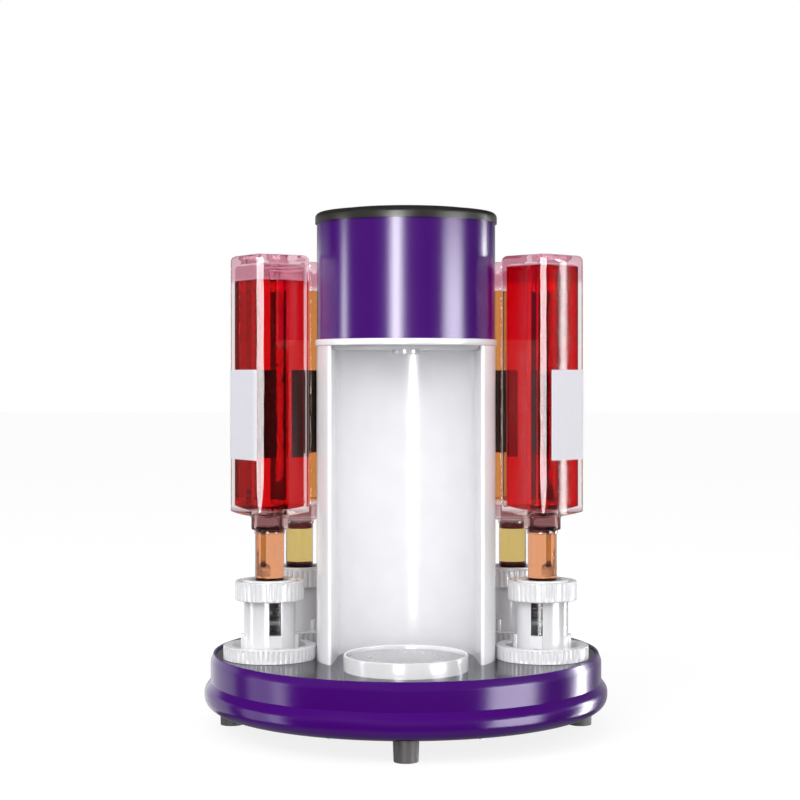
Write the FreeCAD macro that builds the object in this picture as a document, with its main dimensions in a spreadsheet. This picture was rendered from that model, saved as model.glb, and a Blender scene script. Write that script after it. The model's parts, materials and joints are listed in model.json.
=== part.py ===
import FreeCAD, Part
import math
import os
import re

import Sketcher
from FreeCAD import Placement, Rotation, Vector

# Party shot dispenser: five inverted bottles stand in lockable sockets around
# a column, and pumps in the base lift the drinks to a nozzle over the glass.
# Millimetres, +Z up, front towards -Y, origin on the floor under the base.

doc = FreeCAD.newDocument("ShotDispenser")
sheet = doc.addObject("Spreadsheet::Sheet", "Sizes")

# Driving dimensions: lengths in mm, turns in degrees.
sizes = {
    # feet and base
    "footHeight": 21.0,
    "footRadius": 12.1,
    "footTaper": 0.8,
    "footInset": 10.0,
    "footWell": 5.0,
    "baseHeight": 51.4,
    "baseRadius": 200.2,
    "bandStep": 6.0,
    "rollHeight": 26.4,
    "lipRise": 2.0,
    "lipLean": 2.8,
    "lipDrop": 5.4,
    "lipRound": 8.0,
    "lipEdge": 0.8,
    "shellWall": 3.0,
    "lipWidth": 5.0,
    "deckThickness": 4.0,
    "deckLedge": 7.5,
    "floorRim": 16.2,
    "floorThickness": 2.5,
    "floorLedge": 7.5,
    "seatGap": 0.2,
    # case screws and foot screws
    "screwRadius": 1.5,
    "screwHead": 2.9,
    "screwHeadHeight": 2.0,
    "screwLength": 7.0,
    "screwGrip": 2.5,
    "screwGap": 0.05,
    "footScrewRadius": 2.0,
    "footScrewHead": 4.0,
    "footScrewHeadHeight": 3.0,
    "headGap": 0.4,
    # column with its niche
    "columnShift": 38.0,
    "columnGap": 0.5,
    "columnWall": 3.0,
    "columnHeight": 304.6,
    "chimneyRoom": 20.0,
    "mouthFlare": 4.0,
    "noseDepth": 49.0,
    "noseRound": 2.0,
    "bossRadius": 7.6,
    "bossHeight": 20.0,
    "postBossAngle": 82.0,
    "backBossAngle": 150.0,
    # ceiling, nozzle, upper shell and cap
    "collarProud": 1.4,
    "collarThickness": 6.5,
    "collarRound": 1.6,
    "spigotHeight": 5.0,
    "ceilingDrop": 4.0,
    "ceilingInset": 7.5,
    "ceilingGap": 0.4,
    "nozzleInset": 27.5,
    "nozzleRadius": 13.2,
    "nozzleThickness": 4.5,
    "nozzleStem": 10.4,
    "nozzleStemRise": 4.0,
    "outletRadius": 1.2,
    "upperStep": 1.8,
    "upperHeight": 113.0,
    "upperWall": 3.0,
    "capProud": 1.7,
    "capHeight": 10.5,
    "capRound": 5.0,
    "capSkirt": 6.0,
    "capLift": 40.0,
    "padInset": 18.8,
    "padRise": 2.0,
    "padSink": 1.5,
    "padRound": 1.5,
    "boardLength": 66.0,
    "boardWidth": 40.0,
    "boardThickness": 1.6,
    "boardInset": 43.5,
    "standoffHeight": 8.0,
    "standoffRadius": 2.5,
    "chipSide": 12.0,
    "chipHeight": 1.4,
    "relayWidth": 10.0,
    "relayLength": 7.0,
    "relayHeight": 9.0,
    "relayPitch": 9.0,
    "relayShift": 15.0,
    "plugWidth": 24.0,
    "plugLength": 7.0,
    "plugHeight": 7.0,
    "plugShift": 22.0,
    # drip tray
    "trayShift": 70.0,
    "trayInset": 12.8,
    "trayHeight": 14.6,
    "trayWall": 2.4,
    "trayRound": 1.1,
    "dripGap": 2.3,
    "dripThickness": 2.5,
    "dripSink": 3.6,
    "dripRingInset": 9.0,
    "slotInset": 11.0,
    "slotRadius": 1.7,
    "slotCount": 24,
    # bottle stations
    "ringMargin": 4.8,
    "firstStationAngle": 73.4,
    "dockThickness": 5.0,
    "dockSpigot": 15.7,
    "spigotGap": 0.3,
    "nippleRadius": 8.0,
    "nippleHeight": 6.4,
    "pinRadius": 2.5,
    "pinGap": 0.6,
    "barbRadius": 1.55,
    "barbLength": 6.0,
    "boreRadius": 1.0,
    "ringRadius": 45.2,
    "ringHeight": 13.6,
    "ringBore": 36.0,
    "ringStep": 2.0,
    "ringRound": 1.4,
    "runningGap": 0.1,
    "stackGap": 0.3,
    "socketRadius": 25.1,
    "socketWall": 4.1,
    "socketHeight": 68.1,
    "webLow": 7.1,
    "webHigh": 14.6,
    "drainRadius": 1.6,
    "drainCircle": 5.6,
    "seatTop": 33.6,
    "seatThickness": 4.0,
    "seatBore": 6.0,
    "guideThickness": 7.5,
    "neckGap": 0.4,
    "windowWidth": 11.7,
    "windowLow": 20.0,
    "windowHigh": 51.4,
    "postRadius": 3.2,
    "postHeight": 18.6,
    "postAngle": 75.0,
    "latchWidth": 12.0,
    "latchDepth": 3.2,
    "latchLow": 8.0,
    "knobRadius": 1.9,
    "knobSpread": 3.6,
    "knobRise": 4.2,
    "nutRadius": 33.6,
    "nutHeight": 18.5,
    "nutTop": 3.0,
    "nutBore": 17.5,
    "nutRound": 1.2,
    "beadInner": 19.5,
    "beadOuter": 26.0,
    "beadHeight": 1.2,
    "grooveOuter": 29.0,
    "grooveDepth": 1.4,
    # bottles
    "bottleSide": 60.0,
    "bottleCorner": 7.0,
    "bottleWall": 5.5,
    "bottleBody": 248.5,
    "bottleAngle": 16.0,
    "lastBottleAngle": 31.0,
    "heelRound": 5.0,
    "collarHeight": 13.0,
    "neckCollar": 18.0,
    "shoulderRise": 6.0,
    "neckRadius": 14.2,
    "neckWall": 4.0,
    "neckLength": 87.0,
    "neckLip": 1.0,
    "neckLipHeight": 4.0,
    # drip-stop valves
    "stemRadius": 3.0,
    "stemGap": 0.1,
    "stemTail": 4.0,
    "valveRadius": 8.0,
    "valveHeight": 3.0,
    "springRadius": 7.7,
    "springWire": 1.3,
    "flangeRadius": 8.5,
    "flangeThickness": 2.0,
    # pumps and tubes
    "pumpAxis": 42.0,
    "motorStart": 37.0,
    "motorLength": 28.0,
    "motorRadius": 12.4,
    "headRadius": 16.4,
    "headLength": 19.0,
    "headWall": 2.0,
    "shaftRadius": 2.0,
    "shaftGap": 0.05,
    "shaftGrip": 8.0,
    "loopTube": 1.8,
    "loopAngle": 300.0,
    "rollerRadius": 2.4,
    "hubRadius": 4.0,
    "rotorGap": 1.0,
    "cheekThickness": 1.5,
    "inletDrop": 8.0,
    "outletShift": 6.0,
    "outletRise": 0.5,
    "tubeRadius": 2.5,
    "tubeBore": 1.6,
    "tubeBend": 9.0,
    "riserBend": 5.0,
    "riserPitch": 10.0,
    "chimneyWidth": 50.0,
    "chimneyDepth": 9.0,
    "riserTop": 404.0,
    "topBend": 12.0,
    "topBarbCircle": 6.6,
    # power inlet and switch at the back
    "panelWidth": 64.0,
    "panelThickness": 4.0,
    "panelSeat": 0.15,
    "windowOpening": 56.0,
    "switchWidth": 14.0,
    "switchHeight": 8.6,
    "switchGap": 1.0,
    "switchProud": 1.6,
    "pivotRadius": 1.2,
    "pivotLength": 1.5,
    "inletShift": 17.0,
    "jackRadius": 5.6,
    "jackLength": 14.0,
    "jackBore": 3.1,
    "jackDepth": 9.0,
    "jackPin": 1.0,
    "jackPinInset": 1.0,
    "jackInset": 0.6,
    "jackFlangeThickness": 1.5,
}

# Levels and radii that follow from the driving dimensions.
derived = {
    "baseFloor": "footHeight",
    "bandRadius": "baseRadius - bandStep",
    "deckRadius": "bandRadius - lipWidth - seatGap",
    "floorRadius": "baseRadius - floorRim",
    "footCircle": "floorRadius - footInset",
    "stationRadius": "deckRadius - ringRadius - ringMargin",
    "columnRadius": "stationRadius * sin(firstStationAngle) - ringRadius - columnGap",
    "nicheRadius": "columnRadius - chimneyRoom",
    "mouthHalfWidth": "nicheRadius + mouthFlare",
    "nozzleReach": "columnRadius - nozzleInset",
    "boardOffset": "columnRadius - boardInset",
    "trayRadius": "mouthHalfWidth - trayInset",
    "trayReach": "columnShift + trayShift",
    "floorTop": "baseFloor + floorThickness",
    "deckTop": "baseFloor + baseHeight",
    "deckUnder": "deckTop - deckThickness",
    "ledgeUnder": "deckUnder - shellWall",
    "ledgeRadius": "deckRadius + seatGap - deckLedge",
    "deckScrewCircle": "deckRadius - deckLedge / 2",
    "floorSeat": "floorRadius + seatGap",
    "floorScrewCircle": "floorRadius - floorLedge / 2",
    "bandLow": "baseFloor + rollHeight",
    "shoulderDrop": "rollHeight * 0.3",
    "shoulderRound": "rollHeight * 0.36",
    "curlRound": "rollHeight * 0.48",
    "lipLow": "deckTop - lipDrop",
    "lipTop": "deckTop + lipRise",
    "lipReach": "bandRadius - lipLean",
    "collarRadius": "columnRadius + collarProud",
    "upperRadius": "collarRadius - upperStep",
    "capRadius": "upperRadius + capProud",
    "padRadius": "capRadius - padInset",
    "ceilingReach": "columnRadius - ceilingInset",
    "dripRadius": "trayRadius - trayWall - dripGap",
    "dripRing": "dripRadius - dripRingInset",
    "slotCircle": "dripRing - slotInset",
    "columnTop": "deckTop + columnHeight",
    "collarTop": "columnTop + collarThickness",
    "upperTop": "collarTop + upperHeight",
    "capTop": "upperTop + capHeight",
    "upperBore": "upperRadius - upperWall",
    "ceilingLow": "columnTop - ceilingDrop",
    "nozzleLow": "ceilingLow - nozzleThickness",
    "stemTop": "collarTop + nozzleStemRise",
    "chimneyReach": "(columnRadius + nicheRadius) / 2",
    "trayFloor": "deckTop + trayWall",
    "trayTop": "deckTop + trayHeight",
    "dripTop": "trayTop - dripSink",
    "dripLow": "dripTop - dripThickness",
    "dockTop": "deckTop + dockThickness",
    "dockRadius": "ringBore + ringStep - runningGap",
    "nippleTop": "dockTop + nippleHeight",
    "socketRim": "dockTop + socketHeight",
    "socketBore": "socketRadius - socketWall",
    "webTop": "dockTop + webHigh",
    "seatLevel": "dockTop + seatTop",
    "seatUnder": "seatLevel - seatThickness",
    "valveTail": "webTop - stemTail",
    "nutUnder": "socketRim + nutTop - nutHeight",
    "nutTopLevel": "socketRim + nutTop",
    "neckBore": "neckRadius - neckWall",
    "shoulderLow": "seatLevel + neckLength",
    "collarHigh": "shoulderLow + collarHeight",
    "bodyLow": "collarHigh + shoulderRise",
    "bottleTop": "bodyLow + bottleBody",
    "stationStep": "(360 - 2 * firstStationAngle) / 4",
    "barbLow": "deckUnder - spigotReach",
    "spigotReach": "dockThickness + stackGap",
    "headStart": "motorStart + motorLength",
    "headEnd": "headStart + headLength",
    "riserLevel": "deckUnder - screwHeadHeight - tubeRadius - stackGap",
    "loopCircle": "headRadius - headWall - stackGap - loopTube",
    "rollerCircle": "loopCircle - loopTube - stackGap - rollerRadius",
    "panelLow": "bandLow + shellWall / 2",
    "panelHigh": "ledgeUnder - seatGap",
    "panelMid": "(panelLow + panelHigh) / 2",
    "jackFlange": "panelMid - panelLow",
    "shellBore": "bandRadius - shellWall",
    "panelFront": "shellBore - panelSeat",
    "panelBack": "panelFront - panelThickness - panelWidth * panelWidth / (8 * shellBore)",
}

STATIONS = 5
FEET = 4
FLOOR_SCREWS = 8
DECK_SCREWS = 6
ROLLERS = 3
front = Rotation(Vector(1, 0, 0), 90)

for row, (alias, size) in enumerate(sizes.items(), 1):
    sheet.set(f"A{row}", alias)
    sheet.set(f"B{row}", str(size))
    sheet.setAlias(f"B{row}", alias)
doc.recompute()

pieces = {}
count = 0


def formula(text):
    """Expression text with every size read from the sheet."""
    def swap(found):
        word = found.group(0)
        if word in sizes:
            return "Sizes." + word
        if word in derived:
            return "(" + formula(derived[word]) + ")"
        return word
    return re.sub(r"[A-Za-z_]\w*", swap, str(text))


def value(text):
    return float(sheet.evalExpression(formula(text)))


def bind(item, **properties):
    for name, text in properties.items():
        item.setExpression(name.replace("_", "."), formula(text))


def add(kind, name):
    """New document object with a unique internal name."""
    global count
    count += 1
    return doc.addObject(kind, f"{name}_{count}")


def place(item, x="0", y="0", z="0", turn=None):
    if turn is not None:
        item.Placement = Placement(Vector(), Rotation(Vector(0, 0, 1), 1))
        bind(item, Placement_Rotation_Angle=turn)
    bind(item, Placement_Base_x=x, Placement_Base_y=y, Placement_Base_z=z)
    return item


def drum(name, radius, low, high, x="0", y="0"):
    item = add("Part::Cylinder", name)
    bind(item, Radius=radius, Height=f"({high}) - ({low})")
    return place(item, x, y, low)


def drumForward(name, radius, start, end, x="0", z="0"):
    """Cylinder that lies along -Y from start to end."""
    item = add("Part::Cylinder", name)
    item.Placement = Placement(Vector(), front)
    bind(item, Radius=radius, Height=f"({end}) - ({start})")
    return place(item, x, f"-({start})", z)


def cone(name, lowRadius, highRadius, low, high, x="0", y="0"):
    item = add("Part::Cone", name)
    bind(item, Radius1=lowRadius, Radius2=highRadius, Height=f"({high}) - ({low})")
    return place(item, x, y, low)


def block(name, x, y, z):
    """Box from three (low, high) pairs."""
    item = add("Part::Box", name)
    bind(item, Length=f"({x[1]}) - ({x[0]})", Width=f"({y[1]}) - ({y[0]})",
         Height=f"({z[1]}) - ({z[0]})")
    return place(item, x[0], y[0], z[0])


def join(name, *parts):
    item = add("Part::MultiFuse", name)
    item.Shapes = list(parts)
    item.Refine = True
    return item


def cut(name, base, *tools):
    item = add("Part::Cut", name)
    item.Base = base
    item.Tool = tools[0] if len(tools) == 1 else join(name + "Tool", *tools)
    return item


def common(name, *parts):
    item = add("Part::MultiCommon", name)
    item.Shapes = list(parts)
    return item


def group(name, parts):
    item = add("Part::Compound", name)
    item.Links = list(parts)
    return item


def rounded(name, base, radius, chosen):
    """Fillet on the edges that chosen() picks."""
    doc.recompute()
    item = add("Part::Fillet", name)
    item.Base = base
    size = value(radius)
    edges = [(n, size, size) for n, edge in enumerate(base.Shape.Edges, 1) if chosen(edge)]
    if not edges:
        raise ValueError(f"{name}: no edge to round")
    item.Edges = edges
    return item


def keep(label, item):
    item.Label = label
    pieces[label] = item
    return item


def polygonSketch(body, name, role, corners):
    """Closed outline on an origin plane, each corner bound to its formulas."""
    plane = next(f for f in body.Origin.OriginFeatures if f.Role == role)
    sketch = body.newObject("Sketcher::SketchObject", name)
    sketch.AttachmentSupport = [(plane, "")]
    sketch.MapMode = "FlatFace"
    points = [Vector(value(a), value(b), 0) for a, b in corners]
    last = len(points)
    for n in range(last):
        sketch.addGeometry(Part.LineSegment(points[n], points[(n + 1) % last]), False)
    for n in range(last):
        sketch.addConstraint(Sketcher.Constraint("Coincident", n, 2, (n + 1) % last, 1))
    for n, corner in enumerate(corners):
        for kind, text, axis in zip(("DistanceX", "DistanceY"), corner, (-2, -1)):
            if text == "0":
                sketch.addConstraint(Sketcher.Constraint("PointOnObject", n, 1, axis))
                continue
            row = sketch.addConstraint(Sketcher.Constraint(kind, -1, 1, n, 1, value(text)))
            sketch.setExpression(f"Constraints[{row}]", formula(text))
    return sketch


def circleSketch(body, name, role, circles):
    """Circles (x, y, radius) on an origin plane, bound to their formulas."""
    plane = next(f for f in body.Origin.OriginFeatures if f.Role == role)
    sketch = body.newObject("Sketcher::SketchObject", name)
    sketch.AttachmentSupport = [(plane, "")]
    sketch.MapMode = "FlatFace"
    for n, (x, y, radius) in enumerate(circles):
        sketch.addGeometry(Part.Circle(Vector(value(x), value(y), 0), Vector(0, 0, 1), value(radius)), False)
        for kind, text, axis in (("DistanceX", x, -2), ("DistanceY", y, -1)):
            if text == "0":
                sketch.addConstraint(Sketcher.Constraint("PointOnObject", n, 3, axis))
                continue
            row = sketch.addConstraint(Sketcher.Constraint(kind, -1, 1, n, 3, value(text)))
            sketch.setExpression(f"Constraints[{row}]", formula(text))
        row = sketch.addConstraint(Sketcher.Constraint("Radius", n, value(radius)))
        sketch.setExpression(f"Constraints[{row}]", formula(radius))
    return sketch


def lathe(name, outline, rounds=()):
    """Body turned about Z from a half section of (radius, height) corners.

    rounds lists (radius, height, fillet) for the rims that are rounded off.
    """
    body = add("PartDesign::Body", name)
    sketch = polygonSketch(body, name + "Section", "XZ_Plane", outline)
    turned = body.newObject("PartDesign::Revolution", name + "Turned")
    turned.Profile = sketch
    turned.ReferenceAxis = (sketch, ["V_Axis"])
    turned.Angle = 360
    doc.recompute()
    last = turned
    for radius, height, fillet in rounds:
        names = rimNames(last.Shape, value(radius), value(height))
        item = body.newObject("PartDesign::Fillet", name + "Round")
        item.Base = (last, names)
        bind(item, Radius=fillet)
        doc.recompute()
        last = item
    body.Tip = last
    return body


def rimNames(shape, radius, height):
    """Names of the round edges at one radius and height about the Z axis."""
    names = []
    for n, edge in enumerate(shape.Edges, 1):
        curve = edge.Curve
        if curve.TypeId != "Part::GeomCircle":
            continue
        off = math.hypot(curve.Center.x, curve.Center.y)
        if off < 0.01 and abs(curve.Radius - radius) < 0.01 and abs(curve.Center.z - height) < 0.01:
            names.append(f"Edge{n}")
    if not names:
        raise ValueError(f"no rim at radius {radius:.2f}, height {height:.2f}")
    return names


def stationTurn(n):
    """Turn of station n about the base axis, from the front."""
    return f"(-firstStationAngle - {n} * stationStep)"


def atStation(item, n, extra="0"):
    """Moves a piece from the base axis to station n, turned to face outwards."""
    turn = stationTurn(n)
    return place(item, f"stationRadius * sin({turn})", f"-stationRadius * cos({turn})", "0",
                 f"{turn} + {extra}")


def spun(item, n):
    """Turns a piece modelled towards the front so that it faces station n."""
    return place(item, turn=stationTurn(n))


def tube(name, points, bends):
    """Hollow hose of straight runs joined by arcs of the given radii."""
    edges = []
    start = points[0]
    for before, corner, after, radius in zip(points, points[1:], points[2:], bends):
        back = (before - corner).normalize()
        ahead = (after - corner).normalize()
        half = back.getAngle(ahead) / 2
        enter = corner + back * (radius / math.tan(half))
        leave = corner + ahead * (radius / math.tan(half))
        inward = (back + ahead).normalize()
        middle = corner + inward * (radius / math.sin(half) - radius)
        edges.append(Part.LineSegment(start, enter).toShape())
        edges.append(Part.Arc(enter, middle, leave).toShape())
        start = leave
    edges.append(Part.LineSegment(start, points[-1]).toShape())
    path = Part.Wire(edges)
    way = points[1] - points[0]
    rod, bore = (path.makePipe(Part.Face(Part.Wire(Part.makeCircle(value(radius), points[0], way))))
                 for radius in ("tubeRadius", "tubeBore"))
    item = add("Part::Feature", name)
    item.Shape = rod.cut(bore)
    return item


# ---- base ----

def bossPlaces():
    """Screw bosses in the column, as (x, y) from the base axis."""
    places = []
    for turn in ("postBossAngle", "backBossAngle"):
        for side in ("", "-"):
            places.append((f"{side}chimneyReach * sin({turn})",
                           f"-columnShift - chimneyReach * cos({turn})"))
    return places


def ringPlaces(circle, number, start):
    """Evenly spaced places on a circle, as (x, y)."""
    turns = [start + 360.0 * n / number for n in range(number)]
    return [(f"{circle} * sin({turn})", f"-{circle} * cos({turn})") for turn in turns]


def floorScrewPlaces():
    return ringPlaces("floorScrewCircle", FLOOR_SCREWS, 180.0 / FLOOR_SCREWS)


def deckScrewPlaces():
    return ringPlaces("deckScrewCircle", DECK_SCREWS, 180.0 / DECK_SCREWS)


def footPlaces():
    return ringPlaces("footCircle", FEET, 0.0)


def stationPlaces():
    turns = [stationTurn(n) for n in range(STATIONS)]
    return [(f"stationRadius * sin({turn})", f"-stationRadius * cos({turn})") for turn in turns]


def baseShell():
    shell = lathe("shell", [
        ("floorSeat", "baseFloor"),
        ("baseRadius", "baseFloor"),
        ("baseRadius", "bandLow - shoulderDrop"),
        ("bandRadius", "bandLow"),
        ("bandRadius", "lipLow"),
        ("lipReach", "lipTop"),
        ("deckRadius + seatGap", "lipTop"),
        ("deckRadius + seatGap", "deckUnder"),
        ("ledgeRadius", "deckUnder"),
        ("ledgeRadius", "ledgeUnder"),
        ("shellBore", "ledgeUnder"),
        ("shellBore", "bandLow - shellWall"),
        ("baseRadius - shellWall", "bandLow - shoulderDrop - shellWall"),
        ("baseRadius - shellWall", "baseFloor + curlRound"),
        ("baseRadius - curlRound", "floorTop + shellWall"),
        ("floorSeat - floorLedge", "floorTop + shellWall"),
        ("floorSeat - floorLedge", "floorTop"),
        ("floorSeat", "floorTop"),
    ], [
        ("baseRadius", "baseFloor", "curlRound"),
        ("baseRadius", "bandLow - shoulderDrop", "shoulderRound"),
        ("bandRadius", "lipLow", "lipRound"),
        ("lipReach", "lipTop", "lipEdge"),
        ("deckRadius + seatGap", "lipTop", "lipEdge"),
    ])
    opening = block("inletWindow", ("-windowOpening / 2", "windowOpening / 2"),
                    ("shellBore - shellWall * 2", "baseRadius"),
                    ("panelLow + panelSeat", "panelHigh - panelSeat"))
    holes = []
    for x, y in floorScrewPlaces():
        holes.append(drum("floorHole", "screwRadius + screwGap", "floorTop",
                          "floorTop + shellWall", x, y))
    for x, y in deckScrewPlaces():
        holes.append(drum("deckHole", "screwRadius + screwGap", "ledgeUnder", "deckUnder", x, y))
    keep("base_shell", cut("baseShell", shell, opening, *holes))


def deckPlate():
    body = add("PartDesign::Body", "deck")
    disc = circleSketch(body, "deckDisc", "XY_Plane", [("0", "0", "deckRadius")])
    pad = body.newObject("PartDesign::Pad", "deckPad")
    pad.Profile = disc
    bind(pad, Length="deckThickness")
    ports = [(x, y, "dockSpigot + spigotGap") for x, y in stationPlaces()]
    ports += [(x, y, "screwRadius + screwGap") for x, y in bossPlaces()]
    holes = circleSketch(body, "deckPorts", "XY_Plane", ports)
    pocket = body.newObject("PartDesign::Pocket", "deckPocket")
    pocket.Profile = holes
    pocket.Type = "ThroughAll"
    pocket.Reversed = True
    slot = polygonSketch(body, "chimneySlot", "XY_Plane", slotCorners())
    passage = body.newObject("PartDesign::Pocket", "chimneyPocket")
    passage.Profile = slot
    passage.Type = "ThroughAll"
    passage.Reversed = True
    blind = circleSketch(body, "deckBlind", "XY_Plane",
                         [(x, y, "screwRadius + screwGap") for x, y in deckScrewPlaces()])
    sunk = body.newObject("PartDesign::Pocket", "blindPocket")
    sunk.Profile = blind
    sunk.Reversed = True
    bind(sunk, Length="screwGrip + screwGap * 4")
    body.Tip = sunk
    doc.recompute()
    place(body, z="deckUnder")
    keep("deck_plate", body)


def slotCorners():
    """Passage for the risers, seen from above, about the base axis."""
    middle = "chimneyReach - columnShift"
    return [("-chimneyWidth / 2", f"{middle} - chimneyDepth / 2"),
            ("chimneyWidth / 2", f"{middle} - chimneyDepth / 2"),
            ("chimneyWidth / 2", f"{middle} + chimneyDepth / 2"),
            ("-chimneyWidth / 2", f"{middle} + chimneyDepth / 2")]


def basePlate():
    disc = drum("floorDisc", "floorRadius", "baseFloor", "floorTop")
    holes = [drum("floorHole", "screwRadius + screwGap", "baseFloor", "floorTop", x, y)
             for x, y in floorScrewPlaces()]
    holes += [drum("footHole", "footScrewRadius + screwGap", "baseFloor", "floorTop", x, y)
              for x, y in footPlaces()]
    keep("base_plate", cut("basePlate", disc, *holes))


def rubberFeet():
    feet = []
    for x, y in footPlaces():
        body = cone("footBody", "footRadius - footTaper", "footRadius", "0", "baseFloor", x, y)
        well = drum("footWell", "footScrewHead + headGap", "0", "footWell", x, y)
        hole = drum("footHole", "footScrewRadius + screwGap", "footWell", "baseFloor", x, y)
        feet.append(cut("foot", body, well, hole))
    keep("rubber_feet", group("feet", feet))


def screw(x, y, headLow, headHigh, shankLow, shankHigh, radius, head):
    """Pan head screw standing at (x, y)."""
    cap = drum("screwCap", head, headLow, headHigh, x, y)
    shank = drum("screwShank", radius, shankLow, shankHigh, x, y)
    return join("screw", cap, shank)


def screws():
    cases = []
    head = "screwHeadHeight"
    floor = ("baseFloor - " + head, "baseFloor", "baseFloor", "floorTop + shellWall")
    deck = ("ledgeUnder - " + head, "ledgeUnder", "ledgeUnder", "deckUnder + screwGrip")
    column = ("deckUnder - " + head, "deckUnder", "deckUnder", "deckUnder + screwLength")
    for levels, places in ((floor, floorScrewPlaces()), (deck, deckScrewPlaces()),
                           (column, bossPlaces())):
        for x, y in places:
            cases.append(screw(x, y, *levels, "screwRadius", "screwHead"))
    keep("case_screws", group("caseScrews", cases))
    feet = [screw(x, y, "footWell - footScrewHeadHeight", "footWell", "footWell",
                  "floorTop + shellWall", "footScrewRadius", "footScrewHead")
            for x, y in footPlaces()]
    keep("foot_screws", group("footScrews", feet))


# ---- column, ceiling and top ----

def nicheTool(grow, low, high):
    """The niche's space, grown by a wall: a round back and a flared mouth."""
    back = drum("nicheBack", f"nicheRadius + {grow}", low, high)
    mouth = add("Part::Wedge", "nicheMouth")
    depth = "(columnRadius + nozzleReach)"
    wide = f"(nicheRadius + {grow} + (mouthHalfWidth - nicheRadius) * {depth} / noseDepth)"
    bind(mouth, Xmin=f"-{wide}", Xmax=wide, X2min=f"-(nicheRadius + {grow})",
         X2max=f"nicheRadius + {grow}", Ymin=f"-{depth}", Ymax="0",
         Zmin="0", Z2min="0", Zmax=f"({high}) - ({low})", Z2max=f"({high}) - ({low})")
    place(mouth, z=low)
    return join("nicheSpace", back, mouth)


def columnShell():
    low, high = "deckTop", "columnTop"
    body = drum("columnBody", "columnRadius", low, high)
    cavity = cut("columnCavity", drum("cavityDrum", "columnRadius - columnWall", low, high),
                 nicheTool("columnWall", low, high))
    hollow = cut("columnHollow", body, nicheTool("0", low, high), cavity)
    bosses = []
    holes = []
    for x, y in bossPlaces():
        across = f"({y}) + columnShift"
        bosses.append(drum("boss", "bossRadius", low, f"{low} + bossHeight", x, across))
        holes.append(drum("bossHole", "screwRadius + screwGap", low, f"{low} + screwLength", x, across))
    limit = cut("bossLimit", drum("bossDrum", "columnRadius - columnWall / 2", low, high),
                nicheTool("columnWall / 2", low, high))
    ribs = common("bossesInside", join("bosses", *bosses), limit)
    column = cut("columnBored", join("columnJoined", hollow, ribs), *holes)

    def noseEdge(edge):
        low, high = edge.BoundBox.ZMin, edge.BoundBox.ZMax
        upright = edge.BoundBox.XLength + edge.BoundBox.YLength < 0.01
        return upright and high - low > value("columnHeight") - 1 and edge.CenterOfMass.y < -value("noseDepth") / 2

    nose = rounded("columnNose", column, "noseRound", noseEdge)
    keep("column", place(nose, y="-columnShift"))


def passageTool(low, high):
    """Slot over the column's chimney, about the column axis."""
    return block("passage", ("-chimneyWidth / 2", "chimneyWidth / 2"),
                 ("chimneyReach - chimneyDepth / 2", "chimneyReach + chimneyDepth / 2"), (low, high))


def collarDisc():
    disc = lathe("collar", [
        ("0", "columnTop"),
        ("collarRadius", "columnTop"),
        ("collarRadius", "collarTop"),
        ("upperBore - seatGap", "collarTop"),
        ("upperBore - seatGap", "collarTop + spigotHeight"),
        ("upperBore - seatGap - upperWall", "collarTop + spigotHeight"),
        ("upperBore - seatGap - upperWall", "collarTop"),
        ("0", "collarTop"),
    ], [
        ("collarRadius", "columnTop", "collarRound"),
        ("collarRadius", "collarTop", "collarRound"),
    ])
    posts = [drum("standoff", "standoffRadius", "collarTop", "collarTop + standoffHeight", x, y)
             for x, y in boardCorners("standoffRadius + 1")]
    stem = drum("stemHole", "nozzleStem + seatGap", "columnTop", "collarTop", y="-nozzleReach")
    passage = passageTool("columnTop", "collarTop + spigotHeight")
    collar = cut("collarBored", join("collarPosts", disc, *posts), stem, passage)
    keep("collar_disc", place(collar, y="-columnShift"))


def boardCorners(inset):
    """Corners of the control board, about the column axis."""
    wide = f"(boardWidth / 2 - ({inset}))"
    long = f"(boardLength / 2 - ({inset}))"
    return [(f"boardOffset {a} {wide}", f"0 {b} {long}") for a in "+-" for b in "+-"]


def ceilingPanel():
    low, high = "ceilingLow", "columnTop"
    disc = cone("ceilingDisc", "ceilingReach - ceilingDrop", "ceilingReach", low, high)
    stem = drum("stemHole", "nozzleStem + seatGap", low, high, y="-nozzleReach")
    panel = cut("ceiling", common("ceilingShape", disc, nicheTool("-ceilingGap", low, high)), stem)
    keep("ceiling_panel", place(panel, y="-columnShift"))


def outletPlaces(circle):
    """One place per drink around the nozzle's axis."""
    turns = [360.0 * n / STATIONS for n in range(STATIONS)]
    return [(f"{circle} * sin({turn})", f"-{circle} * cos({turn})") for turn in turns]


def nozzle():
    head = lathe("nozzleBody", [
        ("0", "nozzleLow"),
        ("nozzleRadius", "nozzleLow"),
        ("nozzleRadius", "ceilingLow"),
        ("nozzleStem", "ceilingLow"),
        ("nozzleStem", "stemTop"),
        ("0", "stemTop"),
    ], [("nozzleRadius", "nozzleLow", "outletRadius")])
    barbs = [drum("barb", "barbRadius", "stemTop", "stemTop + barbLength", x, y)
             for x, y in outletPlaces("topBarbCircle")]
    ways = [drum("way", "boreRadius", "nozzleLow", "stemTop + barbLength", x, y)
            for x, y in outletPlaces("topBarbCircle")]
    item = cut("nozzleBored", join("nozzleJoined", head, *barbs), *ways)
    keep("nozzle", place(item, y="-columnShift - nozzleReach"))


def upperShell():
    wall = lathe("upper", [
        ("upperBore", "collarTop"),
        ("upperRadius", "collarTop"),
        ("upperRadius", "upperTop"),
        ("upperBore", "upperTop"),
    ])
    keep("upper_shell", place(wall, y="-columnShift"))


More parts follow.
